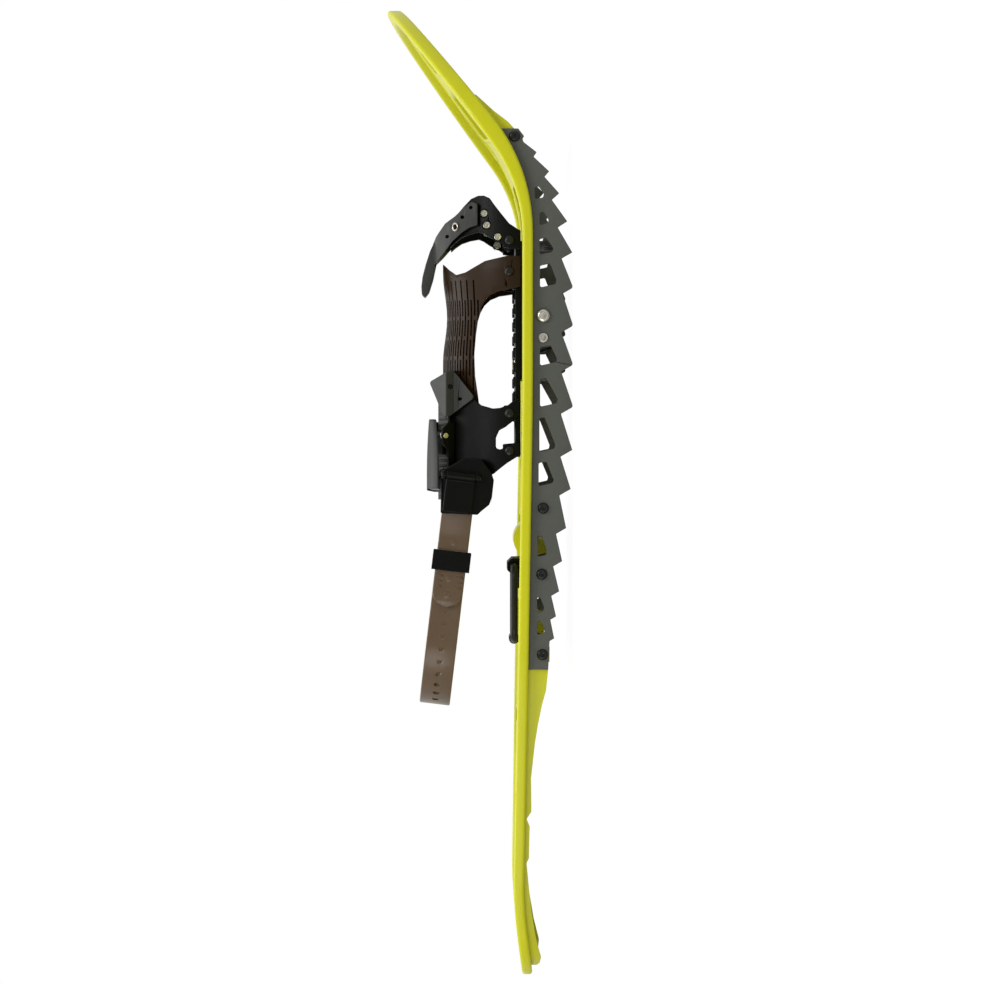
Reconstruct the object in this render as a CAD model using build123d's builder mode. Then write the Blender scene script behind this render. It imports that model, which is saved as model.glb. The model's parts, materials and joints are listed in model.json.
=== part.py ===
"""Snowshoe with a moulded deck, toothed side rails and a pivoting strap binding.

Frame: +X is the walking direction, +Y the wearer's left, +Z up.  The shoe lies on the teeth of
its rails, with the origin on the ground below the middle of its length and width.  Millimetres.
"""
import os
from math import asin, atan2, cos, degrees, radians, sin, sqrt, tan

from build123d import *

# ---------------------------------------------------------------- deck, overall
TIP_X = 317.5            # front end of the deck
TAIL_X = -317.5          # rear end of the deck
HALF_WIDTH = 108.0       # centre line to the outside of the rim
TAIL_HALF_WIDTH = 58.0   # the same at the tail
SHOULDER_X = 212.0       # the nose curve starts here
TAPER_X = -112.0         # the tail starts to narrow here
TAIL_ROUND = 40.0        # corners of the tail in plan
TAPER_ROUND = 260.0      # bend of the side where it starts to narrow
NOSE_CHEEK = (284.0, 76.0)     # place on the nose curve
NOSE_FACING = radians(47.0)    # direction that the outline faces there
DECK_LOW = 25.7          # underside of the rim where the deck is flat
TAIL_LOW = 24.9          # underside of the rim at the tail end
CREST_X = -268.0         # highest place of the rear deck
CREST_LOW = 31.1         # underside of the rim there
FLAT_X = 60.0            # the rear deck starts to rise here
TIP_ANGLE = 38.0         # slope of the nose
TIP_BEND = 118.0         # radius of the bend, at the underside of the rim
TIP_CORNER_X = 206.0     # where the flat and the sloping underside lines would meet
RIM_HEIGHT = 6.7
RIM_TOP_ANGLE = 36.5     # slope of the rim's top along the nose, where the rim grows taller
RIM_TOP_BEND = 100.0
RIM_TOP_CORNER_X = 195.5
RIM_WIDTH = 9.0
RIM_ROUND = 2.0          # rounded edges of the rim
RIM_CORNER = 3.0         # edges of the rim that are shorter than this stay sharp
PANEL_LOW = 1.6          # underside of the panel above the underside of the rim
PANEL_HIGH = 4.6         # top of the panel above the underside of the rim
TALL = 140.0             # more than the height of the shoe
WIDE = 130.0             # more than half its width

# ---------------------------------------------------------------- rails
RAIL_THICK = 2.0
RAIL_INSET = 6.0         # outside of the rim to the outside of the rail
RAIL_OUT = HALF_WIDTH - RAIL_INSET
RAIL_IN = RAIL_OUT - RAIL_THICK
RAIL_REAR_X = -113.3
RAIL_FRONT_X = 231.5
TOOTH_LEAN = 30.0        # lean of a tooth's short face from upright
TOOTH_ROUND = 1.8
WINDOW_ROUND = 1.1
# tip of each tooth from front to rear: forward position, height, depth of the notch behind it
TEETH = [
    (226.6, 31.3, 3.2), (216.4, 23.3, 3.5), (204.2, 15.3, 4.6), (190.2, 8.9, 6.3),
    (172.3, 3.8, 7.2), (152.5, 0.6, 7.8), (130.1, 0.0, 7.8), (105.8, 0.0, 8.6),
    (80.9, 0.0, 8.8), (54.1, 0.0, 9.0), (26.6, 0.6, 8.6), (1.7, 1.6, 8.3),
    (-23.2, 4.5, 7.4), (-44.3, 7.0, 6.6), (-63.5, 8.9, 5.8), (-79.5, 10.9, 4.2),
    (-93.5, 12.1, 3.4),
]
RAIL_HEEL = (-113.3, 15.9)   # lower rear corner of a rail
# window of a rail: front end, rear end, height of its straight upper edge, depth at each end
WINDOWS = [
    (194.0, 186.4, 24.6, 2.5, 5.4), (178.0, 169.8, 21.4, 2.6, 5.2), (161.0, 151.0, 21.4, 4.2, 8.2),
    (144.0, 130.2, 21.1, 6.4, 10.0), (92.0, 80.4, 21.1, 6.6, 10.2), (71.6, 54.2, 21.1, 3.8, 10.8),
    (46.8, 25.4, 21.5, 3.2, 9.6), (18.2, 3.6, 22.0, 4.8, 9.0), (-27.8, -41.4, 22.6, 2.2, 5.4),
    (-67.6, -77.0, 23.0, 1.9, 4.0), (-82.8, -91.2, 23.0, 2.6, 4.4),
]
BOLTS = [(-10.5, 19.1), (-52.6, 20.0), (-103.8, 19.6), (226.6, 37.4)]
BOLT_SHANK = 2.0
BOLT_HEAD = 3.6
BOLT_HEAD_HIGH = 2.2
NUT_RADIUS = 4.4
NUT_HIGH = 3.2
SHANK_CLEAR = 0.05

# ---------------------------------------------------------------- deck details
LUG_THICK = 4.0          # deck lugs behind the rails
LUG_HALF_LENGTH = 4.8
LUG_BELOW = 4.6          # lug reaches this far below its bolt
SKIRT_THICK = 4.0        # side wall behind the rails
OPENING_FRONT = 204.0    # binding opening
OPENING_REAR = 50.0
OPENING_HALF = 60.0
BAR_HALF_SPAN = 84.0
BAR_DEPTH = 14.0         # cross bars below the panel
BARS = [(-28.0, -43.0), (-80.0, -93.0)]

# ---------------------------------------------------------------- binding pivot
AXLE_X = 112.2
AXLE_Z = 19.1
AXLE_RADIUS = 4.0
AXLE_BORE = 2.5
AXLE_BORE_DEEP = 14.0
AXLE_CLEAR = 0.06
BRACKET_THICK = 2.0
BRACKET_FRONT = 122.5
BRACKET_REAR = 92.5
BRACKET_LOW = 11.6
SCREW_HEAD = 4.6
SCREW_HEAD_HIGH = 2.8
RIVET_X = 98.2
RIVET_RADIUS = 2.4
RIVET_HOLE = 1.3
RIVET_HEAD = 3.2
RIVET_HEAD_HIGH = 1.2

# ---------------------------------------------------------------- binding
BASE_LOW = 33.0          # underside of the binding base and centre of the boot space
BASE_HIGH = 36.4
BASE_FRONT = 171.0
BASE_REAR = 22.0
BASE_CLEAR = 0.6         # edge of the base to the inside of the instep panel
TREAD_HIGH = 1.4
TREAD_PITCH = 9.5
TREAD_SIDE = 34.5
CRAMPON_THICK = 2.0
CRAMPON_FRONT = 163.0
CRAMPON_REAR = 73.0
CRAMPON_HALF = 45.0
CRAMPON_TIPS = 7.5       # height of the crampon's points above the ground
BOOT_SPACE = 48.5        # inside radius of the instep panel
BASE_HALF = BOOT_SPACE - BASE_CLEAR
PANEL_THICK = 2.5
LAYER_GAP = 0.3
WING_IN = BOOT_SPACE + PANEL_THICK + LAYER_GAP
WING_THICK = 3.5
WING_OUT = WING_IN + WING_THICK
STRAP_IN = WING_OUT + LAYER_GAP
STRAP_THICK = 2.6
PIN_RADIUS = 2.4
PIN_HIGH = 1.4

# ---------------------------------------------------------------- ratchet on the right wing
RATCHET_ROLL = 30.0      # turn from the top of the instep towards the right
RATCHET_X = 22.0
RATCHET_LENGTH = 46.0
RATCHET_WIDTH = 19.0
RATCHET_FLOOR = 1.8
RATCHET_WALL = 1.8
RATCHET_WALL_HIGH = 9.0
LADDER_WIDTH = 13.0
LADDER_THICK = 2.2
LADDER_LIFT = 0.3
RATCHET_PIN = 1.8
LEVER_THICK = 2.0
SPRING_WIDE = 1.4
SPRING_RADIUS = 2.7

# ---------------------------------------------------------------- heel strap and its buckle
HEEL_SLOPE = 6.8         # rise of the heel strap towards the rear, in degrees
HEEL_HEIGHT = 72.6       # middle of the strap above the ground at X = 0
HEEL_STRAP_WIDE = 20.0
HEEL_STRAP_THICK = 3.0
HEEL_REAR_X = -141.0
HEEL_HALF = 47.0
HEEL_BEND = 41.0
HEEL_FRONT_X = 6.0
FREE_END_X = -76.0
FREE_GAP = 0.3
KEEPER_X = -46.0
KEEPER_LENGTH = 13.0
KEEPER_WALL = 2.0
KEEPER_CLEAR = 0.4
FOLD_PIN = 2.0
BUCKLE_OUT = 59.0
BUCKLE_SLOT = 0.3
ANCHOR_OUT = 53.0
LID_PIN_X = 9.6
LID_PIN = 1.5
LID_BARREL = 2.7
LID_THICK = 2.4
LID_GAP = 0.3
LID_HALF = 9.6
EAR_WIDE = 2.4

# ---------------------------------------------------------------- heel lifter
LIFTER_X = -50.0
LIFTER_Z = 36.9
LIFTER_REACH = 48.0
LIFTER_HALF = 30.0
LIFTER_WIRE = 2.4
LIFTER_CLEAR = 0.06
LIFTER_BEND = 8.0
GRIP_RADIUS = 3.4
GRIP_LENGTH = 30.0
CLIP_Y = 15.0
CLIP_WIDE = 12.0
CLIP_LONG = 11.0
CLIP_HIGH = 4.6
CLIP_FOOT = 9.0
CLIP_FOOT_HIGH = 3.0
CLIP_SCREW = 1.5
CLIP_SCREW_HEAD = 2.8

os.makedirs("parts", exist_ok=True)


def save(part: Part, name: str) -> None:
    """Label a finished piece and write its STEP file."""
    part.label = name
    export_step(part, f"parts/{name}.step")


# ================================================================ shared shapes
def rocker_points(lift: float, corner_x: float, angle: float) -> list:
    """Corners of a line above the underside of the rim, from tail to tip."""
    corner_z = DECK_LOW + lift
    end_x = TIP_X + 4
    end_z = corner_z + (end_x - corner_x) * tan(radians(angle))
    return [
        (TAIL_X - 3, TAIL_LOW - 0.4 + lift),
        (CREST_X, CREST_LOW + lift),
        (FLAT_X, DECK_LOW + lift),
        (corner_x, corner_z),
        (end_x, end_z),
    ]


def rocker_line(lift: float) -> Curve:
    """Side view of the deck at a height above the underside of its rim."""
    corner_x = TIP_CORNER_X - lift * tan(radians(TIP_ANGLE / 2))
    return FilletPolyline(*rocker_points(lift, corner_x, TIP_ANGLE), radius=[250, 1800, TIP_BEND - lift])


def rim_top_line() -> Curve:
    """Side view of the top of the rim."""
    points = rocker_points(RIM_HEIGHT, RIM_TOP_CORNER_X, RIM_TOP_ANGLE)
    return FilletPolyline(*points, radius=[250, 1800, RIM_TOP_BEND])


def rocker_angle(x: float) -> float:
    """Slope of the deck at a forward position, in degrees."""
    start = TIP_CORNER_X - TIP_BEND * tan(radians(TIP_ANGLE / 2))
    reach = min(max(x - start, 0.0), TIP_BEND * sin(radians(TIP_ANGLE)))
    return degrees(asin(reach / TIP_BEND))


def deck_low(x: float) -> float:
    """Height of the underside of the rim at a forward position."""
    start = TIP_CORNER_X - TIP_BEND * tan(radians(TIP_ANGLE / 2))
    if x > start:
        return DECK_LOW + TIP_BEND * (1 - cos(radians(rocker_angle(x))))
    if x > FLAT_X:
        return DECK_LOW
    return DECK_LOW + (FLAT_X - x) / (FLAT_X - CREST_X) * (CREST_LOW - DECK_LOW)


def side_band(low: float, high: float) -> Sketch:
    """Side view of the space between two heights above the underside of the rim."""
    with BuildSketch() as band:
        with BuildLine():
            lower = rocker_line(low)
            upper = rocker_line(high)
            Line(lower @ 0, upper @ 0)
            Line(lower @ 1, upper @ 1)
        make_face()
    return band.sketch


def rim_side() -> Sketch:
    """Side view of the rim."""
    with BuildSketch() as side:
        with BuildLine():
            lower = rocker_line(0)
            upper = rim_top_line()
            Line(lower @ 0, upper @ 0)
            Line(lower @ 1, upper @ 1)
        make_face()
    return side.sketch


def side_polygon(points: list, rounding: float = 0) -> Sketch:
    """Side view with straight sides, its corners rounded when a radius is given."""
    with BuildSketch() as shape:
        with BuildLine():
            Polyline(*points, close=True)
        make_face()
        if rounding:
            fillet(shape.vertices(), radius=rounding)
    return shape.sketch


def plan(inset: float) -> Sketch:
    """Plan view of the deck, drawn in from the outside of the rim by `inset`."""
    taper = atan2(HALF_WIDTH - TAIL_HALF_WIDTH, TAPER_X - TAIL_X)
    tail_x = TAIL_X + inset
    tail_y = TAIL_HALF_WIDTH + inset * tan(taper) - inset / cos(taper)
    side_y = HALF_WIDTH - inset
    taper_x = TAIL_X + (side_y - TAIL_HALF_WIDTH + inset / cos(taper)) / tan(taper)
    with BuildSketch() as shape:
        with BuildLine():
            tail = FilletPolyline(
                (tail_x, 0),
                (tail_x, tail_y),
                (taper_x, side_y),
                (SHOULDER_X, side_y),
                radius=[TAIL_ROUND - inset, TAPER_ROUND],
            )
            cheek = (NOSE_CHEEK[0] - inset * cos(NOSE_FACING), NOSE_CHEEK[1] - inset * sin(NOSE_FACING))
            Spline(tail @ 1, cheek, (TIP_X - inset, 0), tangents=[(1, 0), (0, -1)])
            Line((TIP_X - inset, 0), (tail_x, 0))
        make_face()
        mirror(about=Plane.XZ)
    return shape.sketch


def wall(outer: float, inner: float, side: Sketch) -> Part:
    """Wall that follows the outline between two insets, cut to a side view."""
    with BuildPart() as shape:
        with BuildSketch():
            add(plan(outer))
            if inner:
                add(plan(inner), mode=Mode.SUBTRACT)
        extrude(amount=TALL)
        with BuildSketch(Plane.XZ):
            add(side)
        extrude(amount=WIDE, both=True, mode=Mode.INTERSECT)
    return shape.part


def slab(side: Sketch, start: float, end: float) -> Part:
    """Plate with the given side view, from one distance right of the centre to another."""
    with BuildPart() as shape:
        with BuildSketch(Plane.XZ.offset(start)):
            add(side)
        extrude(amount=end - start)
    return shape.part


def peg(x: float, z: float, radius: float, start: float, end: float) -> Part:
    """Round pin across the shoe, from one distance right of the centre to another."""
    with BuildPart() as shape:
        with BuildSketch(Plane.XZ.offset(start)):
            with Locations((x, z)):
                Circle(radius)
        extrude(amount=end - start)
    return shape.part


def wrap(side: Sketch, inner: float, outer: float, reach: float = WIDE) -> Part:
    """Right half of a sheet rolled round the boot space, cut to a side view."""
    with BuildPart() as shape:
        with BuildSketch(Plane.YZ.offset(-220)):
            with Locations((0, BASE_LOW)):
                Circle(outer)
                Circle(inner, mode=Mode.SUBTRACT)
        extrude(amount=440)
        with BuildSketch(Plane.XZ):
            add(side)
        extrude(amount=reach, mode=Mode.INTERSECT)
    return shape.part


def both_sides(right: Part) -> Part:
    """A right-hand piece together with its mirror image."""
    with BuildPart() as pair:
        add(right)
        mirror(right, about=Plane.XZ)
    return pair.part


# ================================================================ deck
# openings of the panel, left half, each given by its corners
PANEL_WINDOWS = [
    [(295, 5), (292, 22), (280, 30), (277, 5)],
    [(267, 7), (264, 46), (238, 62), (234, 7)],
    [(262, 56), (250, 76), (228, 86), (228, 72)],
    [(196, 71), (196, 88), (152, 88), (152, 71)],
    [(140, 71), (140, 88), (90, 88), (90, 71)],
    [(78, 71), (78, 88), (24, 88), (24, 71)],
    [(36, 9), (36, 56), (-12, 56), (-12, 9)],
    [(10, 68), (10, 88), (-14, 88), (-14, 68)],
    [(-54, 46), (-54, 86), (-72, 86), (-72, 46)],
    [(-106, 8), (-106, 76), (-146, 66), (-146, 8)],
    [(-160, 8), (-160, 62), (-202, 52), (-202, 8)],
    [(-216, 8), (-216, 50), (-254, 42), (-254, 8)],
    [(-268, 7), (-268, 38), (-294, 32), (-294, 7)],
]
# lower edge of the side wall that carries on behind the rails, down to the kicked tail
SKIRT_EDGE = [
    (RAIL_REAR_X - 0.2, 15.9), (-126.8, 17.2), (-136.4, 19.8), (-149.0, 22.3), (-162.0, 24.3),
    (-184.0, 26.6), (-206.0, 26.3), (-211.0, 29.4), (-216.0, 27.4), (-237.0, 27.8),
    (-240.0, 29.3), (-258.0, 27.6), (-275.0, 25.7), (-291.0, 23.0), (-304.0, 19.6),
    (-308.5, 20.4), (TAIL_X - 1, 28.0), (TAIL_X - 1, 30.0), (-285.0, 33.4), (-200.0, 33.0),
    (RAIL_REAR_X - 0.2, 31.0),
]
LEAD_IN = [
    (RAIL_FRONT_X + 0.2, 48.5), (RAIL_FRONT_X + 0.2, 37.6), (236.0, 41.4), (243.0, 50.4),
    (254.0, 62.0), (254.0, 65.0),
]
HEEL_RISE = (-20.0, -44.0, 37.4)   # front, rear and top of the heel support
HEEL_RISE_HALF = 38.0
LIFTER_SCREW_X = LIFTER_X - CLIP_LONG / 2 - CLIP_FOOT / 2


def panel_openings() -> Part:
    """Everything that is cut through the panel in plan."""
    with BuildPart() as cuts:
        with BuildSketch():
            with Locations(((OPENING_FRONT + OPENING_REAR) / 2, 0)):
                Rectangle(OPENING_FRONT - OPENING_REAR, 2 * OPENING_HALF)
            for corners in PANEL_WINDOWS:
                with BuildLine():
                    Polyline(*corners, close=True)
                make_face()
                with BuildLine():
                    Polyline(*[(x, -y) for x, y in corners], close=True)
                make_face()
        extrude(amount=TALL)
        uprights = cuts.edges().filter_by(Axis.Z)
        fillet(uprights, radius=3.0)
        with BuildSketch():
            with Locations((LIFTER_SCREW_X, CLIP_Y), (LIFTER_SCREW_X, -CLIP_Y)):
                Circle(CLIP_SCREW + SHANK_CLEAR)
        extrude(amount=TALL)
    return cuts.part


def bar(front: float, rear: float) -> Part:
    """Cross bar below the panel, with sloping sides."""
    top = deck_low(front) + PANEL_LOW + 1.2
    low = top - BAR_DEPTH
    edge = [(front, top), (front - 4.0, low), (rear + 4.0, low), (rear, top)]
    return slab(side_polygon(edge), -BAR_HALF_SPAN, BAR_HALF_SPAN)


def heel_rise() -> Part:
    """Rounded support under the heel."""
    front, rear, top = HEEL_RISE
    floor = deck_low(front) + PANEL_LOW + 1
    with BuildSketch() as arch:
        with BuildLine():
            ThreePointArc((front, floor), ((front + rear) / 2, top), (rear, floor))
            Line((front, floor), (rear, floor))
        make_face()
    return slab(arch.sketch, -HEEL_RISE_HALF, HEEL_RISE_HALF)


def lug(x: float, z: float) -> Part:
    """Tab of the deck that a rail is bolted to."""
    front = x + LUG_HALF_LENGTH
    rear = x - LUG_HALF_LENGTH
    lift = PANEL_LOW + 1.4
    low_front = z - LUG_BELOW + (deck_low(front) - deck_low(x)) * 0.6
    low_rear = z - LUG_BELOW - (deck_low(x) - deck_low(rear)) * 0.6
    edge = [(rear, deck_low(rear) + lift), (rear, low_rear), (front, low_front), (front, deck_low(front) + lift)]
    with BuildPart() as tab:
        add(slab(side_polygon(edge), RAIL_IN - LUG_THICK, RAIL_IN))
        add(peg(x, z, BOLT_SHANK + SHANK_CLEAR, RAIL_IN - 2 * LUG_THICK, RAIL_IN + 1), mode=Mode.SUBTRACT)
    return tab.part


OPENINGS = panel_openings()
with BuildPart() as rim:
    add(wall(0, RIM_WIDTH, rim_side()))
    fillet(rim.edges().filter_by(lambda edge: edge.length > RIM_CORNER), radius=RIM_ROUND)
with BuildPart() as deck:
    add(wall(RIM_WIDTH - 1.5, 0, side_band(PANEL_LOW, PANEL_HIGH)))
    add(OPENINGS, mode=Mode.SUBTRACT)
    add(rim.part)
    add(wall(RAIL_INSET, RAIL_INSET + SKIRT_THICK, side_polygon(SKIRT_EDGE)))
    add(wall(RAIL_INSET, RAIL_INSET + SKIRT_THICK, side_polygon(LEAD_IN)))
    add(heel_rise())
    for front, rear in BARS:
        add(bar(front, rear))
    for x, z in BOLTS:
        add(both_sides(lug(x, z)))
save(deck.part, "deck")


# ================================================================ rails
def tooth_line() -> list:
    """Toothed edge of a rail from front to rear: each tip, then the notch behind it."""
    points = []
    for x, z, depth in TEETH:
        lean = radians(TOOTH_LEAN + rocker_angle(x))
        points.append((x, z))
        points.append((x - depth * sin(lean), z + depth * cos(lean)))
    return points


def window_corners(front: float, rear: float, top: float, front_deep: float, rear_deep: float) -> list:
    """Corners of a rail window: straight upper edge, sides leaning forward."""
    lean = 0.22
    return [
        (front, top),
        (rear, top),
        (rear + lean * rear_deep, top - rear_deep),
        (rear + lean * rear_deep + 2.4, top - rear_deep - 0.5),
        (front + lean * front_deep, top - front_deep),
    ]


def is_tooth_tip(corner: Vertex) -> bool:
    """Whether a corner of the rail's outline is the tip of a tooth."""
    return any(abs(corner.X - x) < 0.1 and abs(corner.Z - z) < 0.1 for x, z, depth in TEETH)


with BuildPart() as rail_right:
    with BuildSketch(Plane.XZ.offset(RAIL_IN)) as rail_side:
        with BuildLine():
            Polyline(
                (RAIL_REAR_X, 60),
                (RAIL_FRONT_X, 60),
                (RAIL_FRONT_X, 35.0),
                *tooth_line(),
                RAIL_HEEL,
                close=True,
            )
        make_face()
        add(side_band(-60, 0), mode=Mode.INTERSECT)
        tips = ShapeList(v for v in rail_side.vertices() if is_tooth_tip(v))
        fillet(tips, radius=TOOTH_ROUND)
        for window in WINDOWS:
            add(side_polygon(window_corners(*window), WINDOW_ROUND), mode=Mode.SUBTRACT)
    extrude(amount=RAIL_THICK)
    for x, z in BOLTS:
        add(peg(x, z, BOLT_SHANK + SHANK_CLEAR, RAIL_IN - 1, RAIL_OUT + 1), mode=Mode.SUBTRACT)
    add(peg(AXLE_X, AXLE_Z, AXLE_BORE + SHANK_CLEAR, RAIL_IN - 1, RAIL_OUT + 1), mode=Mode.SUBTRACT)
    add(peg(RIVET_X, AXLE_Z, RIVET_RADIUS + SHANK_CLEAR, RAIL_IN - 1, RAIL_OUT + 1), mode=Mode.SUBTRACT)
save(rail_right.part, "rail_right")

with BuildPart() as rail_left:
    mirror(rail_right.part, about=Plane.XZ)
save(rail_left.part, "rail_left")


# ================================================================ rail fasteners
def bolt(x: float, z: float) -> Part:
    """Button head bolt with a hexagon socket, through a rail and its lug."""
    with BuildPart() as shape:
        add(peg(x, z, BOLT_SHANK, RAIL_IN - LUG_THICK - NUT_HIGH, RAIL_OUT + 0.1))
        with BuildSketch(Plane.XZ.offset(RAIL_OUT)):
            with Locations((x, z)):
                Circle(BOLT_HEAD)
        extrude(amount=BOLT_HEAD_HIGH, taper=18)
        with BuildSketch(Plane.XZ.offset(RAIL_OUT + BOLT_HEAD_HIGH)):
            with Locations((x, z)):
                RegularPolygon(1.5, 6)
        extrude(amount=-1.4, mode=Mode.SUBTRACT)
    return shape.part


with BuildPart() as rail_bolts:
    for x, z in BOLTS:
        add(both_sides(bolt(x, z)))
save(rail_bolts.part, "rail_bolts")


def nut(x: float, z: float) -> Part:
    """Hexagon nut against the inside of a lug."""
    with BuildPart() as shape:
        with BuildSketch(Plane.XZ.offset(RAIL_IN - LUG_THICK - NUT_HIGH)):
            with Locations((x, z)):
                RegularPolygon(NUT_RADIUS, 6)
                Circle(BOLT_SHANK + SHANK_CLEAR, mode=Mode.SUBTRACT)
        extrude(amount=NUT_HIGH)
    return shape.part


with BuildPart() as rail_nuts:
    for x, z in BOLTS:
        add(both_sides(nut(x, z)))
save(rail_nuts.part, "rail_nuts")

# ================================================================ binding pivot
BRACKET_EDGE = [
    (BRACKET_REAR, DECK_LOW), (BRACKET_REAR, BRACKET_LOW + 3), (BRACKET_REAR + 4, BRACKET_LOW),
    (BRACKET_FRONT - 4, BRACKET_LOW), (BRACKET_FRONT, BRACKET_LOW + 3), (BRACKET_FRONT, DECK_LOW),
]
with BuildPart() as bracket_right:
    add(slab(side_polygon(BRACKET_EDGE), RAIL_IN - BRACKET_THICK, RAIL_IN))
    add(peg(AXLE_X, AXLE_Z, AXLE_BORE + SHANK_CLEAR, RAIL_IN - 5, RAIL_IN + 1), mode=Mode.SUBTRACT)
    add(peg(RIVET_X, AXLE_Z, RIVET_RADIUS + SHANK_CLEAR, RAIL_IN - 5, RAIL_IN + 1), mode=Mode.SUBTRACT)
with BuildPart() as pivot_brackets:
    add(both_sides(bracket_right.part))
save(pivot_brackets.part, "pivot_brackets")

AXLE_HALF = RAIL_IN - BRACKET_THICK
with BuildPart() as pivot_axle:
    add(peg(AXLE_X, AXLE_Z, AXLE_RADIUS, -AXLE_HALF, AXLE_HALF))
    add(peg(AXLE_X, AXLE_Z, AXLE_BORE, AXLE_HALF - AXLE_BORE_DEEP, AXLE_HALF), mode=Mode.SUBTRACT)
    add(peg(AXLE_X, AXLE_Z, AXLE_BORE, -AXLE_HALF, AXLE_BORE_DEEP - AXLE_HALF), mode=Mode.SUBTRACT)
save(pivot_axle.part, "pivot_axle")

with BuildPart() as axle_screw:
    add(peg(AXLE_X, AXLE_Z, AXLE_BORE, AXLE_HALF - AXLE_BORE_DEEP + 1, RAIL_OUT + 0.1))
    with BuildSketch(Plane.XZ.offset(RAIL_OUT)):
        with Locations((AXLE_X, AXLE_Z)):
            Circle(SCREW_HEAD)
    extrude(amount=SCREW_HEAD_HIGH, taper=24)
    with BuildSketch(Plane.XZ.offset(RAIL_OUT + SCREW_HEAD_HIGH)):
        with Locations((AXLE_X, AXLE_Z)):
            RegularPolygon(1.9, 6)
    extrude(amount=-1.6, mode=Mode.SUBTRACT)
with BuildPart() as axle_screws:
    add(both_sides(axle_screw.part))
save(axle_screws.part, "axle_screws")

with BuildPart() as anchor_rivet:
    add(peg(RIVET_X, AXLE_Z, RIVET_RADIUS, RAIL_IN - BRACKET_THICK - RIVET_HEAD_HIGH, RAIL_OUT + 0.1))
    add(peg(RIVET_X, AXLE_Z, RIVET_HEAD, RAIL_OUT, RAIL_OUT + RIVET_HEAD_HIGH))
    add(peg(RIVET_X, AXLE_Z, RIVET_HEAD, AXLE_HALF - RIVET_HEAD_HIGH, AXLE_HALF))
    add(peg(RIVET_X, AXLE_Z, RIVET_HOLE, AXLE_HALF - 5, RAIL_OUT + 5), mode=Mode.SUBTRACT)
with BuildPart() as anchor_rivets:
    add(both_sides(anchor_rivet.part))
save(anchor_rivets.part, "anchor_rivets")

# ================================================================ crampon
FLANGE_EDGE = [
    (AXLE_X + 24, BASE_LOW - 1), (AXLE_X + 20, AXLE_Z), (AXLE_X + 16, CRAMPON_TIPS),
    (AXLE_X + 9, AXLE_Z - 6.6), (AXLE_X - 9, AXLE_Z - 6.6), (AXLE_X - 16, CRAMPON_TIPS),
    (AXLE_X - 20, AXLE_Z), (AXLE_X - 22, BASE_LOW - 1),
]


def tooth_row(x: float) -> Part:
    """Row of four points turned down across the crampon."""
    top = BASE_LOW - CRAMPON_THICK / 2
    valley = CRAMPON_TIPS + 9
    edge = [(-CRAMPON_HALF, top), (-CRAMPON_HALF, valley + 4)]
    for tip in (-36, -13, 13, 36):
        edge.append((tip - 8, valley))
        edge.append((tip - 1.2, CRAMPON_TIPS))
        edge.append((tip + 1.2, CRAMPON_TIPS))
        edge.append((tip + 8, valley))
    edge.append((CRAMPON_HALF, valley + 4))
    edge.append((CRAMPON_HALF, top))
    with BuildPart() as row:
        with BuildSketch(Plane.YZ.offset(x)):
            with BuildLine():
                Polyline(*edge, close=True)
            make_face()
        extrude(amount=CRAMPON_THICK)
    return row.part


BASE_SCREWS = [(84, 26), (84, -26), (140, 24), (140, -24)]
BASE_SCREW = 2.0
BASE_SCREW_HEAD = 3.8
with BuildPart() as crampon:
    with BuildSketch(Plane.XY.offset(BASE_LOW - CRAMPON_THICK)):
        with Locations(((CRAMPON_FRONT + CRAMPON_REAR) / 2, 0)):
            Rectangle(CRAMPON_FRONT - CRAMPON_REAR, 2 * CRAMPON_HALF)
        with Locations((AXLE_X, 0)):
            RectangleRounded(34, 44, 8, mode=Mode.SUBTRACT)
        with Locations(*BASE_SCREWS):
            Circle(BASE_SCREW + SHANK_CLEAR, mode=Mode.SUBTRACT)
    extrude(amount=CRAMPON_THICK)
    add(both_sides(slab(side_polygon(FLANGE_EDGE), CRAMPON_HALF - CRAMPON_THICK, CRAMPON_HALF)))
    add(tooth_row(CRAMPON_FRONT - CRAMPON_THICK))
    add(tooth_row(CRAMPON_REAR))
    add(peg(AXLE_X, AXLE_Z, AXLE_RADIUS + AXLE_CLEAR, -WIDE, WIDE), mode=Mode.SUBTRACT)
save(crampon.part, "crampon")

# ================================================================ binding base
TABS = [(157.5, 168.5), (45.5, 56.5), (23.2, 31.5)]   # where the wings stand on the base
PANEL_LEG = (133.0, 153.0)                            # where the instep panel stands
TAB_HIGH = 11.0
TAB_THICK = 6.0
# rivets of the wings and the instep panel: forward position, inside and outside of the sheet
WING_FIXINGS = [163.0, 50.5, 26.0]
PANEL_FIXING = 143.0
FIXINGS = [(x, WING_IN, WING_OUT) for x in WING_FIXINGS]
FIXINGS.append((PANEL_FIXING, BOOT_SPACE, BOOT_SPACE + PANEL_THICK))
FIXING_Z = BASE_LOW + 7.2
FIXING_RADIUS = 1.8
FIXING_HEAD = 3.0
FIXING_HEAD_HIGH = 1.2


def base_tab(rear: float, front: float, outer: float) -> Part:
    """Upright lip at the edge of the base."""
    edge = [(rear, BASE_LOW), (front, BASE_LOW), (front - 1, BASE_LOW + TAB_HIGH), (rear + 1, BASE_LOW + TAB_HIGH)]
    return wrap(side_polygon(edge), outer - TAB_THICK, outer)


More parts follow.
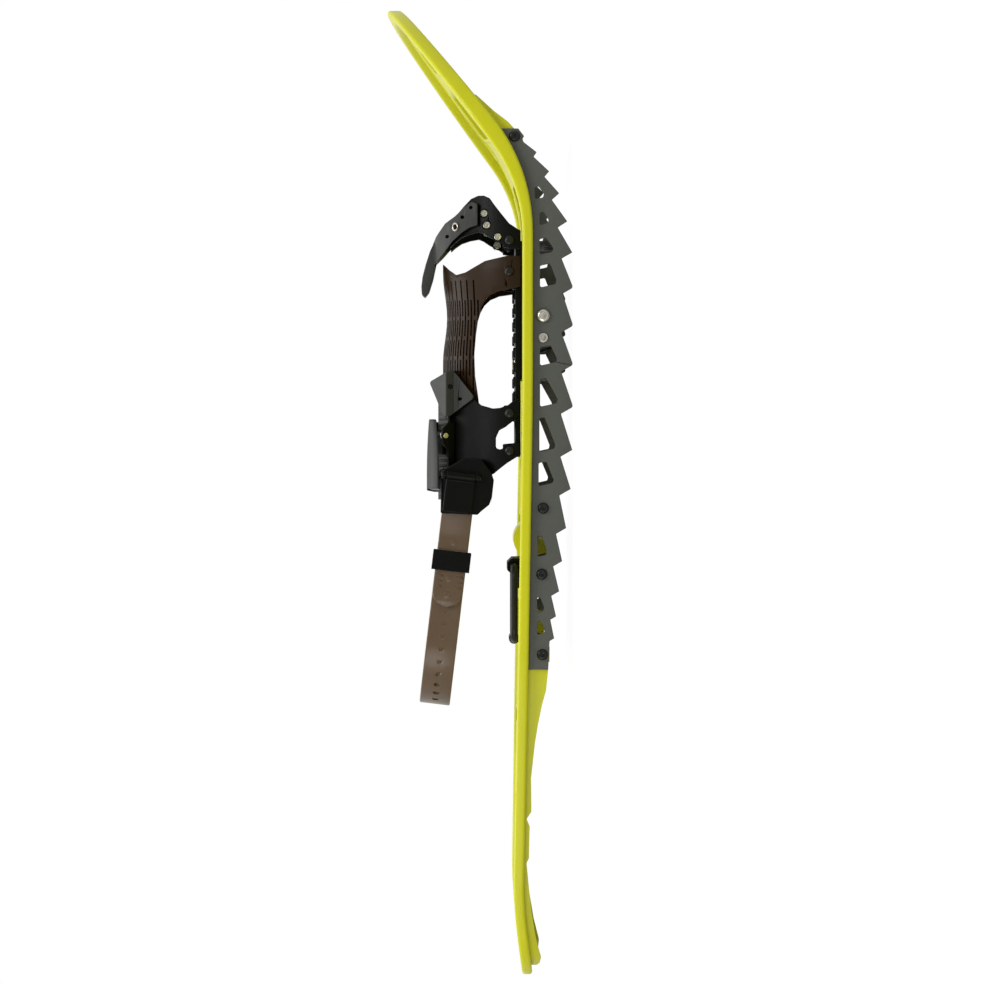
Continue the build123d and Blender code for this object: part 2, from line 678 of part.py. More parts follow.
with BuildPart() as binding_base:
    with BuildSketch(Plane.XY.offset(BASE_LOW)):
        with BuildLine():
            FilletPolyline(
                (BASE_REAR, 5.9 - BASE_HALF), (BASE_REAR, BASE_HALF - 5.9),
                (BASE_REAR + 6, BASE_HALF), (BASE_FRONT - 11, BASE_HALF),
                (BASE_FRONT, BASE_HALF - 9.9), (BASE_FRONT, 9.9 - BASE_HALF),
                (BASE_FRONT - 11, -BASE_HALF), (BASE_REAR + 6, -BASE_HALF),
                radius=5, close=True,
            )
        make_face()
        for x in (48, 78, 108, 138):
            with Locations((x, 0)):
                RectangleRounded(12, 30, 4, mode=Mode.SUBTRACT)
    extrude(amount=BASE_HIGH - BASE_LOW)
    with BuildSketch(Plane.XY.offset(BASE_LOW)):
        with Locations(*BASE_SCREWS):
            Circle(BASE_SCREW + SHANK_CLEAR)
    extrude(amount=BASE_HIGH - BASE_LOW, mode=Mode.SUBTRACT)
    with BuildSketch(Plane.XY.offset(BASE_HIGH - 0.2)):
        with GridLocations(TREAD_PITCH, 2 * TREAD_SIDE, 10, 2):
            with Locations(((BASE_FRONT + BASE_REAR) / 2 + 8, 0)):
                RectangleRounded(TREAD_PITCH - 3, 10, 2)
    extrude(amount=TREAD_HIGH + 0.2)
    for rear, front in TABS:
        add(both_sides(base_tab(rear, front, WING_IN - 0.1)))
    add(both_sides(base_tab(*PANEL_LEG, BOOT_SPACE - 0.1)))
    for x, inner, outer in FIXINGS:
        add(peg(x, FIXING_Z, FIXING_RADIUS + SHANK_CLEAR, -WIDE, WIDE), mode=Mode.SUBTRACT)
save(binding_base.part, "binding_base")

with BuildPart() as base_screw:
    with BuildSketch(Plane.XY.offset(BASE_HIGH)):
        Circle(BASE_SCREW_HEAD)
    extrude(amount=1.6, taper=20)
    with BuildSketch(Plane.XY.offset(BASE_LOW - CRAMPON_THICK - 2.4)):
        Circle(BASE_SCREW)
    extrude(amount=BASE_HIGH - BASE_LOW + CRAMPON_THICK + 2.5)
    with BuildSketch(Plane.XY.offset(BASE_LOW - CRAMPON_THICK - 2.2)):
        Circle(BASE_SCREW_HEAD)
    extrude(amount=2.2)
with BuildPart() as base_rivets:
    with Locations(*BASE_SCREWS):
        add(base_screw.part)
save(base_rivets.part, "base_rivets")


def surface_at(radius: float, z: float) -> float:
    """Distance from the centre line of a rolled sheet of this radius at a height."""
    return sqrt(radius**2 - (z - BASE_LOW) ** 2)


def fixing(x: float, inner: float, outer: float) -> Part:
    """Rivet through a wing or the instep panel into the lip of the base."""
    seat = surface_at(outer, FIXING_Z - FIXING_HEAD) + 0.02
    back = surface_at(inner - 0.1 - TAB_THICK, FIXING_Z + FIXING_HEAD) - 0.05
    with BuildPart() as shape:
        add(peg(x, FIXING_Z, FIXING_RADIUS, back - 0.1, seat + 0.1))
        add(peg(x, FIXING_Z, FIXING_HEAD, seat, seat + FIXING_HEAD_HIGH))
        add(peg(x, FIXING_Z, FIXING_HEAD, back - FIXING_HEAD_HIGH, back))
    return shape.part


with BuildPart() as wing_rivets:
    for x, inner, outer in FIXINGS:
        add(both_sides(fixing(x, inner, outer)))
save(wing_rivets.part, "wing_rivets")

# ================================================================ instep panel
PANEL_EDGE = [
    (133.0, BASE_LOW), (153.0, BASE_LOW), (153.2, 41.2), (149.9, 56.2), (142.8, 69.1), (141.5, 75.0),
    (145.0, 79.5), (152.0, 86.0), (52.0, 86.0), (52.0, 59.4), (62.3, 60.7), (75.3, 62.6), (91.5, 63.3),
    (104.5, 62.8), (113.0, 61.8), (119.0, 59.8), (124.0, 56.8), (127.8, 52.6), (130.4, 46.4), (131.7, 38.0),
]
with BuildPart() as instep_panel:
    add(both_sides(wrap(side_polygon(PANEL_EDGE), BOOT_SPACE, BOOT_SPACE + PANEL_THICK)))
    add(peg(PANEL_FIXING, FIXING_Z, FIXING_RADIUS + SHANK_CLEAR, -WIDE, WIDE), mode=Mode.SUBTRACT)
save(instep_panel.part, "instep_panel")

# ================================================================ toe wings and toe strap
TOE_EDGE = [
    (157.0, BASE_LOW), (169.0, BASE_LOW), (173.9, 40.4), (181.2, 46.3), (186.6, 50.4), (190.4, 53.0),
    (192.3, 56.8), (192.3, 60.7), (190.4, 65.3), (185.8, 69.9), (179.2, 75.8), (174.0, 80.6),
    (159.0, 78.8), (162.0, 75.8), (165.2, 71.6), (167.4, 66.0), (168.7, 60.1), (167.4, 56.8),
    (164.8, 52.9), (161.5, 46.3), (157.6, 40.4),
]
TOE_PINS = [(180.6, 56.8), (173.0, 55.0), (165.2, 47.8)]
with BuildPart() as toe_wing_right:
    add(wrap(side_polygon(TOE_EDGE), WING_IN, WING_OUT))
    add(peg(WING_FIXINGS[0], FIXING_Z, FIXING_RADIUS + SHANK_CLEAR, 0, WIDE), mode=Mode.SUBTRACT)
    for x, z in TOE_PINS:
        add(peg(x, z, PIN_RADIUS + SHANK_CLEAR, 0, WIDE), mode=Mode.SUBTRACT)
save(toe_wing_right.part, "toe_wing_right")
with BuildPart() as toe_wing_left:
    mirror(toe_wing_right.part, about=Plane.XZ)
save(toe_wing_left.part, "toe_wing_left")


with BuildPart() as toe_pins:
    for x, z in TOE_PINS:
        out = surface_at(WING_OUT, z) + PIN_HIGH
        add(both_sides(peg(x, z, PIN_RADIUS, out - WING_THICK - 2.6, out)))
save(toe_pins.part, "toe_pins")

TOE_STRAP_EDGE = [
    (173.0, 61.0), (187.0, 61.0), (188.4, 64.6), (184.5, 70.0), (179.2, 76.2), (175.2, 82.4),
    (167.6, 88.2), (160.0, 92.0), (146.0, 92.0), (155.0, 84.0), (163.0, 77.6), (168.6, 71.0), (171.6, 66.0),
]
# tongue of the toe strap: forward position and height above the top of the wings' sheet
TONGUE = [
    (166.0, 0.5), (158.3, 4.3), (149.7, 7.1), (141.2, 9.3), (134.7, 10.1), (129.4, 9.8),
    (127.6, 7.8), (131.0, 5.1), (139.3, 2.5), (149.7, 0.3), (160.0, -0.1),
]
TONGUE_EDGE = [(x, BASE_LOW + STRAP_IN + rise) for x, rise in TONGUE]
TONGUE_HALF = 11.0
with BuildPart() as toe_strap:
    add(both_sides(wrap(side_polygon(TOE_STRAP_EDGE), STRAP_IN, STRAP_IN + STRAP_THICK)))
    add(slab(side_polygon(TONGUE_EDGE), -TONGUE_HALF, TONGUE_HALF))
save(toe_strap.part, "toe_strap")

# ================================================================ rear wings
WING_EDGE = [
    (10.6, 51.0), (10.6, 70.0), (16.0, 78.0), (24.0, 82.0), (62.0, 82.0), (66.0, 74.0), (61.0, 64.0),
    (55.8, 58.6), (53.6, 51.0), (54.0, 46.4), (55.8, 41.2), (59.0, 37.3), (60.5, BASE_LOW),
    (49.5, BASE_LOW), (47.6, 35.6), (45.4, 38.0), (42.2, 42.0), (39.6, 46.8), (34.4, 49.0),
    (28.0, 49.0), (26.8, 46.4), (28.7, 41.2), (31.0, 36.7), (31.5, BASE_LOW), (23.5, BASE_LOW),
    (20.8, 37.4), (18.2, 41.6), (14.3, 46.6),
]
with BuildPart() as rear_wing_right:
    add(wrap(side_polygon(WING_EDGE), WING_IN, WING_OUT))
    for x in WING_FIXINGS[1:]:
        add(peg(x, FIXING_Z, FIXING_RADIUS + SHANK_CLEAR, 0, WIDE), mode=Mode.SUBTRACT)
save(rear_wing_right.part, "rear_wing_right")
with BuildPart() as rear_wing_left:
    mirror(rear_wing_right.part, about=Plane.XZ)
save(rear_wing_left.part, "rear_wing_left")

# ================================================================ ratchet
ROLL = radians(RATCHET_ROLL)
RATCHET_PLANE = Plane(
    origin=(0, -STRAP_IN * sin(ROLL), BASE_LOW + STRAP_IN * cos(ROLL)),
    x_dir=(1, 0, 0),
    z_dir=(0, -cos(ROLL), -sin(ROLL)),
)


def ratchet_solid(points: list, half: float, start: float = 0) -> Part:
    """Piece of the ratchet from its side view; both halves when it starts at the middle."""
    with BuildPart() as shape:
        with BuildSketch(RATCHET_PLANE.offset(start)):
            with BuildLine():
                Polyline(*points, close=True)
            make_face()
        if start:
            extrude(amount=half - start)
        else:
            extrude(amount=half, both=True)
    return shape.part


def ratchet_peg(x: float, n: float, radius: float, half: float) -> Part:
    """Round pin across the ratchet."""
    with BuildPart() as shape:
        with BuildSketch(RATCHET_PLANE):
            with Locations((x, n)):
                Circle(radius)
        extrude(amount=half, both=True)
    return shape.part


def block(rear: float, front: float, low: float, high: float) -> list:
    """Corners of an upright rectangle."""
    return [(rear, low), (front, low), (front, high), (rear, high)]


RATCHET_REAR = RATCHET_X - RATCHET_LENGTH / 2
RATCHET_FRONT = RATCHET_X + RATCHET_LENGTH / 2
RATCHET_HALF = RATCHET_WIDTH / 2
LEVER_PIN = (RATCHET_REAR + 4.0, 7.4)
PAWL_PIN = (RATCHET_FRONT - 9.0, 6.8)
LADDER_LOW = RATCHET_FLOOR + LADDER_LIFT
LADDER_TOP = LADDER_LOW + LADDER_THICK
WALL_EDGE = [
    (RATCHET_REAR, 0), (RATCHET_FRONT, 0), (RATCHET_FRONT, 4.0), (PAWL_PIN[0] + 5, RATCHET_WALL_HIGH),
    (PAWL_PIN[0] - 5, RATCHET_WALL_HIGH), (PAWL_PIN[0] - 10, 5.0), (LEVER_PIN[0] + 12, 5.0),
    (LEVER_PIN[0] + 5, 10.4), (LEVER_PIN[0] - 3, 10.4), (RATCHET_REAR, 5.0),
]
with BuildPart() as ratchet_base:
    add(ratchet_solid(block(RATCHET_REAR, RATCHET_FRONT, 0, RATCHET_FLOOR), RATCHET_HALF))
    add(ratchet_solid(WALL_EDGE, RATCHET_HALF))
    inner = RATCHET_HALF - RATCHET_WALL
    add(ratchet_solid(block(RATCHET_REAR - 1, RATCHET_FRONT + 1, RATCHET_FLOOR, 20), inner), mode=Mode.SUBTRACT)
    add(ratchet_peg(*LEVER_PIN, RATCHET_PIN + SHANK_CLEAR, 30), mode=Mode.SUBTRACT)
    add(ratchet_peg(*PAWL_PIN, RATCHET_PIN + SHANK_CLEAR, 30), mode=Mode.SUBTRACT)
save(ratchet_base.part, "ratchet_base")

with BuildPart() as ratchet_pins:
    add(ratchet_peg(*LEVER_PIN, RATCHET_PIN, RATCHET_HALF + 0.8))
    add(ratchet_peg(*PAWL_PIN, RATCHET_PIN, RATCHET_HALF + 0.8))
save(ratchet_pins.part, "ratchet_pins")

LEVER_HALF = RATCHET_HALF - RATCHET_WALL - 0.25
LEVER_LOW = 10.6
LEVER_TOP = LEVER_LOW + LEVER_THICK
LEVER_EDGE = [
    (LEVER_PIN[0] - 2.8, LEVER_PIN[1]), (LEVER_PIN[0] - 1.6, LEVER_TOP), (RATCHET_FRONT + 1.0, LEVER_TOP),
    (RATCHET_FRONT + 2.0, LEVER_TOP - 1.0), (RATCHET_FRONT + 1.0, LEVER_LOW), (LEVER_PIN[0] + 4.5, LEVER_LOW),
    (LEVER_PIN[0] + 2.8, LEVER_PIN[1]),
]
with BuildPart() as ratchet_lever:
    add(ratchet_solid(LEVER_EDGE, LEVER_HALF))
    add(ratchet_peg(*LEVER_PIN, 2.9, LEVER_HALF))
    add(ratchet_peg(*LEVER_PIN, RATCHET_PIN + SHANK_CLEAR, 30), mode=Mode.SUBTRACT)
save(ratchet_lever.part, "ratchet_lever")

PAWL_EDGE = [
    (PAWL_PIN[0] - 3.0, PAWL_PIN[1] + 0.6), (PAWL_PIN[0], PAWL_PIN[1] + 2.8), (PAWL_PIN[0] + 2.6, PAWL_PIN[1]),
    (PAWL_PIN[0] + 0.4, PAWL_PIN[1] - 2.2), (PAWL_PIN[0] - 8.0, LADDER_TOP + 0.25), (PAWL_PIN[0] - 12.0, LADDER_TOP + 0.25),
    (PAWL_PIN[0] - 12.0, LADDER_TOP + 2.6), (PAWL_PIN[0] - 8.0, LADDER_TOP + 3.2),
]
with BuildPart() as ratchet_pawl:
    add(ratchet_solid(PAWL_EDGE, LEVER_HALF - SPRING_WIDE - 0.2))
    add(ratchet_peg(*PAWL_PIN, RATCHET_PIN + SHANK_CLEAR, 30), mode=Mode.SUBTRACT)
save(ratchet_pawl.part, "ratchet_pawl")

with BuildPart() as pawl_springs:
    for side in (-1, 1):
        start = LEVER_HALF - SPRING_WIDE if side > 0 else -LEVER_HALF
        with BuildSketch(RATCHET_PLANE.offset(start)):
            with Locations(PAWL_PIN):
                Circle(SPRING_RADIUS)
                Circle(RATCHET_PIN + SHANK_CLEAR, mode=Mode.SUBTRACT)
        extrude(amount=SPRING_WIDE)
save(pawl_springs.part, "pawl_springs")

SLEEVE_REAR = RATCHET_FRONT + 3.5
SLEEVE_FRONT = SLEEVE_REAR + 30.0
SLEEVE_HALF = 11.0
SLEEVE_HIGH = 7.4
SLEEVE_LEAF = 1.9        # thickness of the leaf that runs down the side of the binding
SLEEVE_EDGE = side_polygon([(71.4, 92.8), (79.6, 77.6), (60.8, 62.6), (46.4, 82.4)], 2.0)
with BuildPart() as strap_sleeve:
    add(ratchet_solid(block(SLEEVE_REAR, SLEEVE_FRONT, 0, SLEEVE_HIGH), SLEEVE_HALF))
    add(ratchet_solid(block(SLEEVE_FRONT - 11, SLEEVE_FRONT, WING_IN - STRAP_IN + 0.05, 0.1), SLEEVE_HALF))
    add(slab(SLEEVE_EDGE, 0, WIDE), mode=Mode.INTERSECT)
    add(wrap(SLEEVE_EDGE, STRAP_IN, STRAP_IN + SLEEVE_LEAF))
    slot = block(SLEEVE_REAR - 1, SLEEVE_FRONT - 4, LADDER_LOW - 0.2, LADDER_TOP + 0.2)
    add(ratchet_solid(slot, LADDER_WIDTH / 2 + 0.2), mode=Mode.SUBTRACT)
save(strap_sleeve.part, "strap_sleeve")

with BuildPart() as ladder_strap:
    add(ratchet_solid(block(RATCHET_REAR - 5, SLEEVE_FRONT - 4, LADDER_LOW, LADDER_TOP - 0.8), LADDER_WIDTH / 2))
    for step in range(20):
        rung = RATCHET_REAR - 4.4 + 3.4 * step
        edge = [(rung, LADDER_LOW + 1), (rung + 2.0, LADDER_LOW + 1), (rung + 2.0, LADDER_TOP), (rung + 1.2, LADDER_TOP)]
        add(ratchet_solid(edge, LADDER_WIDTH / 2 - 1.5))
save(ladder_strap.part, "ladder_strap")

# ================================================================ heel strap
SLOPE = radians(HEEL_SLOPE)
HEEL_PLANE = Plane(
    origin=(0, 0, HEEL_HEIGHT),
    x_dir=(cos(SLOPE), 0, -sin(SLOPE)),
    z_dir=(sin(SLOPE), 0, cos(SLOPE)),
)
STRAP_HALF = HEEL_STRAP_THICK / 2
FREE_Y = HEEL_HALF + HEEL_STRAP_THICK + FREE_GAP
FOLD_Y = HEEL_HALF + 2 * (FOLD_PIN + STRAP_HALF)
FOLD_X = HEEL_FRONT_X - STRAP_HALF - FOLD_PIN


def heel_solid(sketch: Sketch, low: float, high: float) -> Part:
    """Piece with the given shape in the plane of the heel strap, between two heights."""
    with BuildPart() as shape:
        with BuildSketch(HEEL_PLANE.offset(low)):
            add(sketch)
        extrude(amount=high - low)
    return shape.part


def heel_block(rear: float, front: float, right: float, left: float, half: float) -> Part:
    """Box in the frame of the heel strap."""
    with BuildSketch() as shape:
        with BuildLine():
            Polyline((rear, -right), (front, -right), (front, -left), (rear, -left), close=True)
        make_face()
    return heel_solid(shape.sketch, -half, half)


def heel_outline() -> Sketch:
    """The strap from above: round the heel, round the fold pin and back as the free end."""
    with BuildSketch() as shape:
        with BuildLine():
            loop = FilletPolyline(
                (HEEL_FRONT_X + 1, HEEL_HALF),
                (HEEL_REAR_X, HEEL_HALF),
                (HEEL_REAR_X, -HEEL_HALF),
                (FOLD_X, -HEEL_HALF),
                radius=HEEL_BEND,
            )
            fold = CenterArc((FOLD_X, -(HEEL_HALF + FOLD_Y) / 2), (FOLD_Y - HEEL_HALF) / 2, 90, -180)
            FilletPolyline(
                fold @ 1, (FOLD_X - 10, -FOLD_Y), (FOLD_X - 32, -FREE_Y), (FREE_END_X, -FREE_Y), radius=18,
            )
        trace(line_width=HEEL_STRAP_THICK)
    return shape.sketch


with BuildPart() as heel_strap:
    add(heel_solid(heel_outline(), -HEEL_STRAP_WIDE / 2, HEEL_STRAP_WIDE / 2))
save(heel_strap.part, "heel_strap")

KEEPER_IN = HEEL_HALF - STRAP_HALF - KEEPER_CLEAR
KEEPER_OUT = FREE_Y + STRAP_HALF + KEEPER_CLEAR
KEEPER_HALF = HEEL_STRAP_WIDE / 2 + KEEPER_CLEAR
keeper_front = KEEPER_X + KEEPER_LENGTH / 2
keeper_rear = KEEPER_X - KEEPER_LENGTH / 2
with BuildPart() as strap_keeper:
    add(heel_block(keeper_rear, keeper_front, KEEPER_OUT + KEEPER_WALL, KEEPER_IN - KEEPER_WALL, KEEPER_HALF + KEEPER_WALL))
    add(heel_block(keeper_rear - 1, keeper_front + 1, KEEPER_OUT, KEEPER_IN, KEEPER_HALF), mode=Mode.SUBTRACT)
save(strap_keeper.part, "strap_keeper")

# ================================================================ heel buckle
BUCKLE_EDGE = [
    (21.0, 58.5), (21.0, 70.0), (13.0, 84.5), (-14.5, 85.0), (-15.5, 61.0), (-13.0, 58.4),
    (-9.0, 53.4), (-4.0, 51.6), (7.0, 50.4), (12.0, 52.0),
]


SLOT_IN = HEEL_HALF - STRAP_HALF - BUCKLE_SLOT
SLOT_HALF = HEEL_STRAP_WIDE / 2 + BUCKLE_SLOT
FOLD_MIDDLE = (HEEL_HALF + FOLD_Y) / 2
FOLD_REACH = (FOLD_Y - HEEL_HALF) / 2 + STRAP_HALF
LID_Y = BUCKLE_OUT + LID_GAP + LID_BARREL


def buckle_shell(out: float) -> Part:
    """Body that holds one end of the heel strap against a rear wing."""
    with BuildPart() as shape:
        add(slab(side_polygon(BUCKLE_EDGE, 1.2), SLOT_IN - 3.5, out))
        with BuildSketch(Plane.YZ.offset(-60)):
            with Locations((0, BASE_LOW)):
                Circle(WING_OUT + LAYER_GAP / 2)
        extrude(amount=120, mode=Mode.SUBTRACT)
    return shape.part


def heel_pin(x: float, right: float, radius: float, half: float) -> Part:
    """Round pin square to the plane of the heel strap."""
    with BuildSketch() as shape:
        with Locations((x, -right)):
            Circle(radius)
    return heel_solid(shape.sketch, -half, half)


with BuildPart() as buckle_body:
    add(buckle_shell(BUCKLE_OUT))
    for low in (-LID_HALF - 0.3 - EAR_WIDE, LID_HALF + 0.3):
        with BuildSketch(HEEL_PLANE.offset(low)):
            with Locations((LID_PIN_X, -LID_Y)):
                Circle(LID_BARREL)
            with Locations((LID_PIN_X, -(BUCKLE_OUT + LID_Y) / 2 + 1)):
                Rectangle(2 * LID_BARREL, LID_Y - BUCKLE_OUT + 2)
        extrude(amount=EAR_WIDE)
    slot_front = FOLD_X + FOLD_REACH + BUCKLE_SLOT
    slot_out = FOLD_MIDDLE + FOLD_REACH + BUCKLE_SLOT
    add(heel_block(-30, slot_front, slot_out, SLOT_IN, SLOT_HALF), mode=Mode.SUBTRACT)
    add(heel_block(-9.5, 0, BUCKLE_OUT + 1, slot_out - 1, 3.2), mode=Mode.SUBTRACT)
    add(heel_pin(FOLD_X, FOLD_MIDDLE, FOLD_PIN + SHANK_CLEAR, 30), mode=Mode.SUBTRACT)
    add(heel_pin(LID_PIN_X, LID_Y, LID_PIN + SHANK_CLEAR, 30), mode=Mode.SUBTRACT)
save(buckle_body.part, "buckle_body")

with BuildPart() as buckle_pins:
    add(heel_pin(FOLD_X, FOLD_MIDDLE, FOLD_PIN, SLOT_HALF + 1.4))
    add(heel_pin(LID_PIN_X, LID_Y, LID_PIN, LID_HALF + EAR_WIDE + 0.8))
save(buckle_pins.part, "buckle_pins")

with BuildPart() as buckle_lid:
    add(heel_block(-14.5, LID_PIN_X, BUCKLE_OUT + LID_GAP + LID_THICK, BUCKLE_OUT + LID_GAP, LID_HALF))
    add(heel_pin(LID_PIN_X, LID_Y, LID_BARREL, LID_HALF))
    add(heel_block(-6.0, -3.0, BUCKLE_OUT + 1, slot_out + 0.4, 2.2))
    add(heel_pin(LID_PIN_X, LID_Y, LID_PIN + SHANK_CLEAR, 30), mode=Mode.SUBTRACT)
save(buckle_lid.part, "buckle_lid")

with BuildPart() as anchor_right:
    add(buckle_shell(ANCHOR_OUT))
    anchor_front = HEEL_FRONT_X + 1 + BUCKLE_SLOT
    anchor_slot = HEEL_HALF + STRAP_HALF + BUCKLE_SLOT
    add(heel_block(-30, anchor_front, anchor_slot, SLOT_IN, SLOT_HALF), mode=Mode.SUBTRACT)
with BuildPart() as heel_anchor:
    mirror(anchor_right.part, about=Plane.XZ)
save(heel_anchor.part, "heel_anchor")

# ================================================================ heel lifter
LIFTER_REAR = LIFTER_X - LIFTER_REACH
with BuildPart() as lifter_half:
    with BuildLine(Plane.XY.offset(LIFTER_Z)):
        FilletPolyline(
            (LIFTER_X, 0), (LIFTER_X, LIFTER_HALF), (LIFTER_REAR, LIFTER_HALF), (LIFTER_REAR, 0),
            radius=LIFTER_BEND,
        )
    with BuildSketch(Plane.XZ.offset(0)):
        with Locations((LIFTER_X, LIFTER_Z)):
            Circle(LIFTER_WIRE)
    sweep()
with BuildPart() as heel_lifter:
    add(both_sides(lifter_half.part))
save(heel_lifter.part, "heel_lifter")

with BuildPart() as lifter_grip:
    add(peg(LIFTER_REAR, LIFTER_Z, GRIP_RADIUS, -GRIP_LENGTH / 2, GRIP_LENGTH / 2))
    add(peg(LIFTER_REAR, LIFTER_Z, LIFTER_WIRE + 0.02, -GRIP_LENGTH, GRIP_LENGTH), mode=Mode.SUBTRACT)
save(lifter_grip.part, "lifter_grip")

CLIP_REAR = LIFTER_X - CLIP_LONG / 2 - CLIP_FOOT
CLIP_FLOOR = deck_low(CLIP_REAR) + PANEL_HIGH + 0.02
CLIP_EDGE = [
    (LIFTER_X + CLIP_LONG / 2, CLIP_FLOOR), (LIFTER_X + CLIP_LONG / 2, LIFTER_Z + 1.5),
    (LIFTER_X + CLIP_LONG / 2 - 3, LIFTER_Z + CLIP_HIGH), (LIFTER_X - CLIP_LONG / 2 + 3, LIFTER_Z + CLIP_HIGH),
    (LIFTER_X - CLIP_LONG / 2, LIFTER_Z + 1.5), (LIFTER_X - CLIP_LONG / 2, CLIP_FLOOR + CLIP_FOOT_HIGH),
    (CLIP_REAR, CLIP_FLOOR + CLIP_FOOT_HIGH), (CLIP_REAR, CLIP_FLOOR),
]
with BuildPart() as clip_right:
    add(slab(side_polygon(CLIP_EDGE, 0.8), CLIP_Y - CLIP_WIDE / 2, CLIP_Y + CLIP_WIDE / 2))
    add(peg(LIFTER_X, LIFTER_Z, LIFTER_WIRE + LIFTER_CLEAR, 0, WIDE), mode=Mode.SUBTRACT)
    with BuildSketch():
        with Locations((LIFTER_SCREW_X, -CLIP_Y)):
            Circle(CLIP_SCREW + SHANK_CLEAR)
    extrude(amount=TALL, mode=Mode.SUBTRACT)
with BuildPart() as lifter_clips:
    add(both_sides(clip_right.part))
save(lifter_clips.part, "lifter_clips")

with BuildPart() as lifter_screws:
    with BuildSketch(Plane.XY.offset(CLIP_FLOOR - 6.0)):
        with Locations((LIFTER_SCREW_X, CLIP_Y), (LIFTER_SCREW_X, -CLIP_Y)):
            Circle(CLIP_SCREW)
    extrude(amount=6.0 + CLIP_FOOT_HIGH + 0.1)
    with BuildSketch(Plane.XY.offset(CLIP_FLOOR + CLIP_FOOT_HIGH)):
        with Locations((LIFTER_SCREW_X, CLIP_Y), (LIFTER_SCREW_X, -CLIP_Y)):
            Circle(CLIP_SCREW_HEAD)
    extrude(amount=1.3, taper=20)
save(lifter_screws.part, "lifter_screws")
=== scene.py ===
"""Looks of the moulded snowshoe: finishes, softened mouldings, straps, fasteners and studio.

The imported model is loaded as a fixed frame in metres: +X is the walking direction, +Y the
wearer's left and +Z up, with the rail teeth on the ground.  Lengths written here are in
millimetres and become metres through the MM factor.
"""

import json
import logging
from dataclasses import dataclass
from enum import Enum
from math import acos, asin, atan2, ceil, cos, hypot, pi, radians, sin, sqrt, tan
from typing import ClassVar, Optional, Union

import bmesh
import bpy
from mathutils import Matrix, Vector

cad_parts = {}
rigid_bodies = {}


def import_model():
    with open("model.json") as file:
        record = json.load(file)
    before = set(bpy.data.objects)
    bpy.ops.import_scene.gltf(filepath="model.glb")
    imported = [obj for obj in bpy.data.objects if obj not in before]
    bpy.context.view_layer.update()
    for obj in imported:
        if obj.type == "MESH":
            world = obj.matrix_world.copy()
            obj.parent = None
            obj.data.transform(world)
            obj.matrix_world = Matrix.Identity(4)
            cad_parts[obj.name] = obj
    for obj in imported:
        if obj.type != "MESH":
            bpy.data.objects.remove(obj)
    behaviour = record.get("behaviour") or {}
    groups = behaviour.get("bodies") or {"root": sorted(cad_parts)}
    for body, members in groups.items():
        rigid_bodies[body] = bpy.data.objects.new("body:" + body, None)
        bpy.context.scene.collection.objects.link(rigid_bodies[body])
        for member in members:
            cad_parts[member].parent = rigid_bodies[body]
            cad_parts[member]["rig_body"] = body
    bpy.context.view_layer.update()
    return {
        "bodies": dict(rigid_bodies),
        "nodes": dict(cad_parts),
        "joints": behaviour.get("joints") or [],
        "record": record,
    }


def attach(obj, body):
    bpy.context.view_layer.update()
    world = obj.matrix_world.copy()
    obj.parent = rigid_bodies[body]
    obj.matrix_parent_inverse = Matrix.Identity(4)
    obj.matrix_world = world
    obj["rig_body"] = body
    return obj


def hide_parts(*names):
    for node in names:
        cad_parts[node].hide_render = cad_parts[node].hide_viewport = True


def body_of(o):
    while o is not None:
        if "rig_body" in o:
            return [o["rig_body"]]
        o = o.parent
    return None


MM = 0.001
LOG = logging.getLogger("snowshoe")
# Tolerances of mesh work, in metres.
WELD_DISTANCE = 1e-7
MERGE_DISTANCE = 2e-6
PLANE_DISTANCE = 1e-6
# Angles in degrees: flat faces that are joined, and edges that stay sharp.
JOIN_ANGLE = 0.4
EDGE_ANGLE = 38.0
CUT_ANGLE = 40.0
LATHE_ANGLE = 42.0
ARC_STEP = 2.0
HOLE_SIDES = 16
# Height of the axis of the boot space, round which the binding is rolled.
BOOT_Z = 33.0
Point2 = tuple[float, float]
Thing = bpy.types.Object
Tree = bpy.types.NodeTree
Socket = bpy.types.NodeSocket
Level = Union[float, Socket]


# ---- small helpers
def linear(code: str) -> tuple[float, float, float]:
    """Turn an sRGB hex colour such as "#a0b010" into linear red, green and blue."""
    parts = [int(code[i : i + 2], 16) / 255 for i in (1, 3, 5)]
    red, green, blue = [c / 12.92 if c <= 0.04045 else ((c + 0.055) / 1.055) ** 2.4 for c in parts]
    return red, green, blue


def add_node(tree: Tree, kind: str, settings: Optional[dict] = None, **inputs) -> bpy.types.Node:
    """Add one node with its settings, values and links.

    Args:
        tree: Node tree that receives the node.
        kind: Type name of the node.
        settings: Attributes to set on the node.
        **inputs: Values or output sockets, by input name with "_" for a space or "i" and a number.

    Returns:
        The new node.
    """
    node = tree.nodes.new(kind)
    for name, value in (settings or {}).items():
        setattr(node, name, value)
    for name, value in inputs.items():
        key = int(name[1:]) if name[0] == "i" and name[1:].isdigit() else name.replace("_", " ")
        if isinstance(value, Socket):
            tree.links.new(value, node.inputs[key])
        else:
            node.inputs[key].default_value = value
    return node


def remap(tree: Tree, value: Socket, low: Level, high: Level, span: Point2 = (0.0, 1.0)) -> Socket:
    """Map a socket from a span of values to the range from low to high."""
    ranges = {"From_Min": span[0], "From_Max": span[1], "To_Min": low, "To_Max": high}
    return add_node(tree, "ShaderNodeMapRange", Value=value, **ranges).outputs["Result"]


def empty_tree(owner: bpy.types.ID) -> Tree:
    """Switch on the nodes of a material or world, and empty its tree."""
    owner.use_nodes = True
    owner.node_tree.nodes.clear()
    return owner.node_tree


